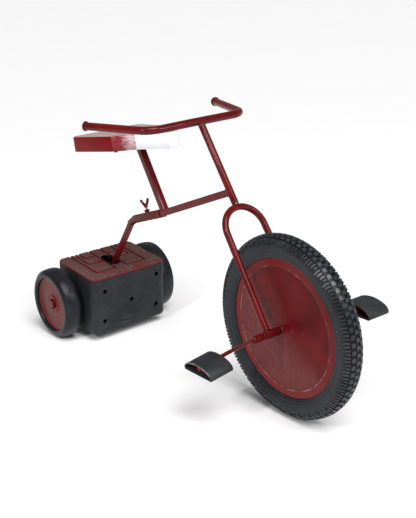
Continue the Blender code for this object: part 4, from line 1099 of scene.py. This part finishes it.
def front_frame():
    """The main tube, seat tube and head tube, with their welds."""
    for node in ("main_tube", "seat_tube"):
        instead(node, bevelled(node, 0.0013, 0.010, angle=20))
    section = square_section(TUBE_SIDE, MAIN_DIR)
    ring = onto_round(section, MAIN_FRONT + MAIN_DIR * 0.008, MAIN_DIR, MAIN_FRONT, COLUMN, HEAD_TUBE_RADIUS)
    weld("head_weld", ring, "frame", 0.0013, 3.0)
    bend = (MAIN_DIR + SLEEVE_DIR).normalized()
    normal = upward(bend.cross(X).normalized())
    section = square_section(TUBE_SIDE, SEAT_TUBE_DIR)
    ring = onto_plane(section, SEAT_BASE + SEAT_TUBE_DIR * 0.01, SEAT_TUBE_DIR, SEAT_BASE + normal * 0.0083,
                      normal)
    weld("seat_tube_weld", ring, "frame", 0.0013, 5.0)
    # A thin black disc near the lower front corner of the main tube is painted shade standing for a small
    # blind hole.
    hole = [(0, 0), (0, 0.0021), (0.0003, 0.0021), (0.0003, 0)]
    below = -upward(MAIN_DIR.cross(X).normalized())
    for side, sign in SIDES:
        at = MAIN_FRONT + MAIN_DIR * 0.0125 + below * 0.0048 + X * (sign * 0.0079)
        piece(f"hole_shade_disc_{side}", lathe(hole, at, X * sign, 20), BLACK, "frame")
    bottom = CROWN + 0.0026
    length = BAR_HEIGHT - BAR_RADIUS - 0.0026 - bottom
    bore = HEAD_TUBE_RADIUS - 0.0012
    tube = [(0, bore), (0, HEAD_TUBE_RADIUS), (length, HEAD_TUBE_RADIUS), (length, bore)]
    instead("head_tube", lathe(softened(tube, 0.0004), on_column(bottom), COLUMN, 40))


def upward(direction):
    return direction if direction.z > 0 else -direction


# Seat --------------------------------------------------------------------------------------------------

def seat_half_outline():
    """Half of the saddle's outline, from the middle of the rear to the middle of the nose."""
    rear, half, radius = 0.1585, 0.1015, 0.022
    points = [(0.0, rear - 0.004), (0.040, rear - 0.0022)]
    for i in range(9):
        angle = math.pi / 2 * (1 - i / 8)
        points.append((half - radius + radius * math.cos(angle), rear - radius + radius * math.sin(angle)))
    shoulder, waist, nose = Vector((0.0809, 0.0062)), Vector((0.0443, -0.0458)), Vector((0.0150, -0.1418))
    side = Vector((half, rear - radius))
    points += rounded_corner(side, shoulder, waist, 0.010)
    points += rounded_corner(shoulder, waist, nose, 0.012)
    points += rounded_corner(waist, nose, Vector((0.0, -0.1418)), 0.006)
    points.append((0.0, nose.y))
    return points


def rounded_corner(before, corner, after, reach, parts=5):
    first = corner + (before - corner).normalized() * reach
    last = corner + (after - corner).normalized() * reach
    out = []
    for k in range(parts + 1):
        t = k / parts
        out.append(tuple(first * (1 - t) ** 2 + corner * (2 * t * (1 - t)) + last * t ** 2))
    return out


def shrink(points, inset):
    """Move each side of an outline inward by the same distance."""
    count = len(points)
    area = sum(points[i][0] * points[(i + 1) % count][1] - points[(i + 1) % count][0] * points[i][1]
               for i in range(count))
    inward = 1 if area > 0 else -1
    out = []
    for i in range(count):
        here = Vector(points[i])
        before = (here - Vector(points[i - 1])).normalized()
        after = (Vector(points[(i + 1) % count]) - here).normalized()
        first = Vector((-before.y, before.x)) * inward
        second = Vector((-after.y, after.x)) * inward
        shift = (first + second) / (1 + first.dot(second))
        out.append(tuple(here + shift * inset))
    return out


def seat():
    """The hollow saddle, open underneath, with a small foot below each shoulder."""
    half = seat_half_outline()
    whole = half + [(-x, y) for x, y in reversed(half) if x > 0.0001]
    levels = [(0.0034, 0.0004), (0.0022, 0.0), (0.0006, 0.0003), (0.0, 0.0012), (0.0, 0.0180), (0.0, 0.0338),
              (0.0004, 0.0352), (0.0012, 0.0362), (0.0024, 0.0368), (0.0040, SEAT_HEIGHT)]
    rings = [[on_seat(x, y, up) for x, y in shrink(whole, inset)] for inset, up in levels]
    inside = [[on_seat(x, y, up) for x, y in shrink(whole, 0.0040)] for up in (0.033, 0.0010)]
    bm = bmesh.new()
    made = [[bm.verts.new(point) for point in ring] for ring in rings]
    hollow = [[bm.verts.new(point) for point in ring] for ring in inside]
    for lower, upper in zip(made, made[1:]):
        bridge(bm, lower, upper)
    bm.faces.new(made[-1])
    bm.faces.new(hollow[0])
    bridge(bm, hollow[0], hollow[1])
    bridge(bm, hollow[1], made[0])
    instead("seat_shell", bm, SEAT, 40)
    # A small rubber foot shows under the skirt at each shoulder.
    stub = [(0, 0), (0, 0.0044), (0.0140, 0.0044), (0.0140, 0)]
    for side, sign in SIDES:
        at = on_seat(sign * 0.0725, 0.0020, 0.0118)
        foot = lathe(softened(stub, 0.001, closed=False), at, -SEAT_UP, 24)
        piece(f"seat_stub_{side}", foot, BLACK, "seat")


# Kept CAD nodes ----------------------------------------------------------------------------------------

def dress_kept_nodes():
    """The CAD nodes whose shape is right keep it and get the finished materials."""
    for node, thing in frame["nodes"].items():
        look = OTHER_LOOKS.get(node) or LOOKS[SLOT_OF[node]]
        for slot in thing.material_slots:
            slot.material = look


# Studio ------------------------------------------------------------------------------------------------

def aim(light, where, target):
    """Place a lamp and turn it toward a point."""
    lamp = bpy.data.objects.new(light.name, light)
    bpy.context.scene.collection.objects.link(lamp)
    lamp.location = where
    lamp.rotation_euler = (Vector(target) - Vector(where)).to_track_quat("-Z", "Y").to_euler()


def floor_look():
    made, tree, shader, place = start("floor_look")
    cloud = fractal(tree, place, 3, 3)
    colour = mixed(tree, cloud, (0.90, 0.90, 0.90), (0.93, 0.93, 0.93))
    tree.links.new(colour, shader.inputs["Base Color"])
    shader.inputs["Roughness"].default_value = 0.9
    return made


def studio():
    """A pale floor and soft light."""
    world = bpy.data.worlds.new("studio_world")
    bpy.context.scene.world = world
    world.use_nodes = True
    background = world.node_tree.nodes["Background"]
    background.inputs["Color"].default_value = (1.0, 1.0, 1.0, 1)
    background.inputs["Strength"].default_value = WORLD_STRENGTH

    bm = bmesh.new()
    bmesh.ops.create_grid(bm, x_segments=2, y_segments=2, size=FLOOR_SIZE)
    mesh = bpy.data.meshes.new("floor")
    bm.to_mesh(mesh)
    bm.free()
    floor = bpy.data.objects.new("floor", mesh)
    bpy.context.scene.collection.objects.link(floor)
    floor.data.materials.append(floor_look())

    sun = bpy.data.lights.new("sun", "SUN")
    sun.energy = SUN_STRENGTH
    sun.angle = math.radians(SUN_ANGLE)
    aim(sun, SUN_PLACE, (0, 0, 0))
    for name, where, target, size, power in STRIPS:
        light = bpy.data.lights.new(name, "AREA")
        light.shape = "RECTANGLE"
        light.size = size
        light.size_y = size * 2.5
        light.energy = power
        aim(light, where, target)

    view = bpy.context.scene.view_settings
    view.view_transform = "Standard"
    view.look = "None"
    view.exposure = 0.0




def camera():
    """The camera at the picture's angle."""
    data = bpy.data.cameras.new("camera")
    data.lens = CAMERA_LENS
    data.sensor_width = 36
    made = bpy.data.objects.new("camera", data)
    bpy.context.scene.collection.objects.link(made)
    level = math.cos(CAMERA_PITCH)
    back = Vector((math.sin(CAMERA_YAW) * level, -math.cos(CAMERA_YAW) * level, math.sin(CAMERA_PITCH)))
    right = (-back).cross(Vector((0, 0, 1))).normalized()
    up = right.cross(-back)
    roll_cos, roll_sin = math.cos(CAMERA_ROLL), math.sin(CAMERA_ROLL)
    columns = (right * roll_cos + up * roll_sin, up * roll_cos - right * roll_sin, back)
    turn = Matrix(columns).transposed().to_4x4()
    made.matrix_world = Matrix.Translation(CAMERA_PLACE) @ turn
    bpy.context.scene.camera = made


dress_kept_nodes()
camera()
studio()
fork()
handlebar()
front_discs()
front_tyre()
cranks()
pedals()
rear_wheels()
step_mat()
rear_unit()
wing_bolt()
front_frame()
seat()
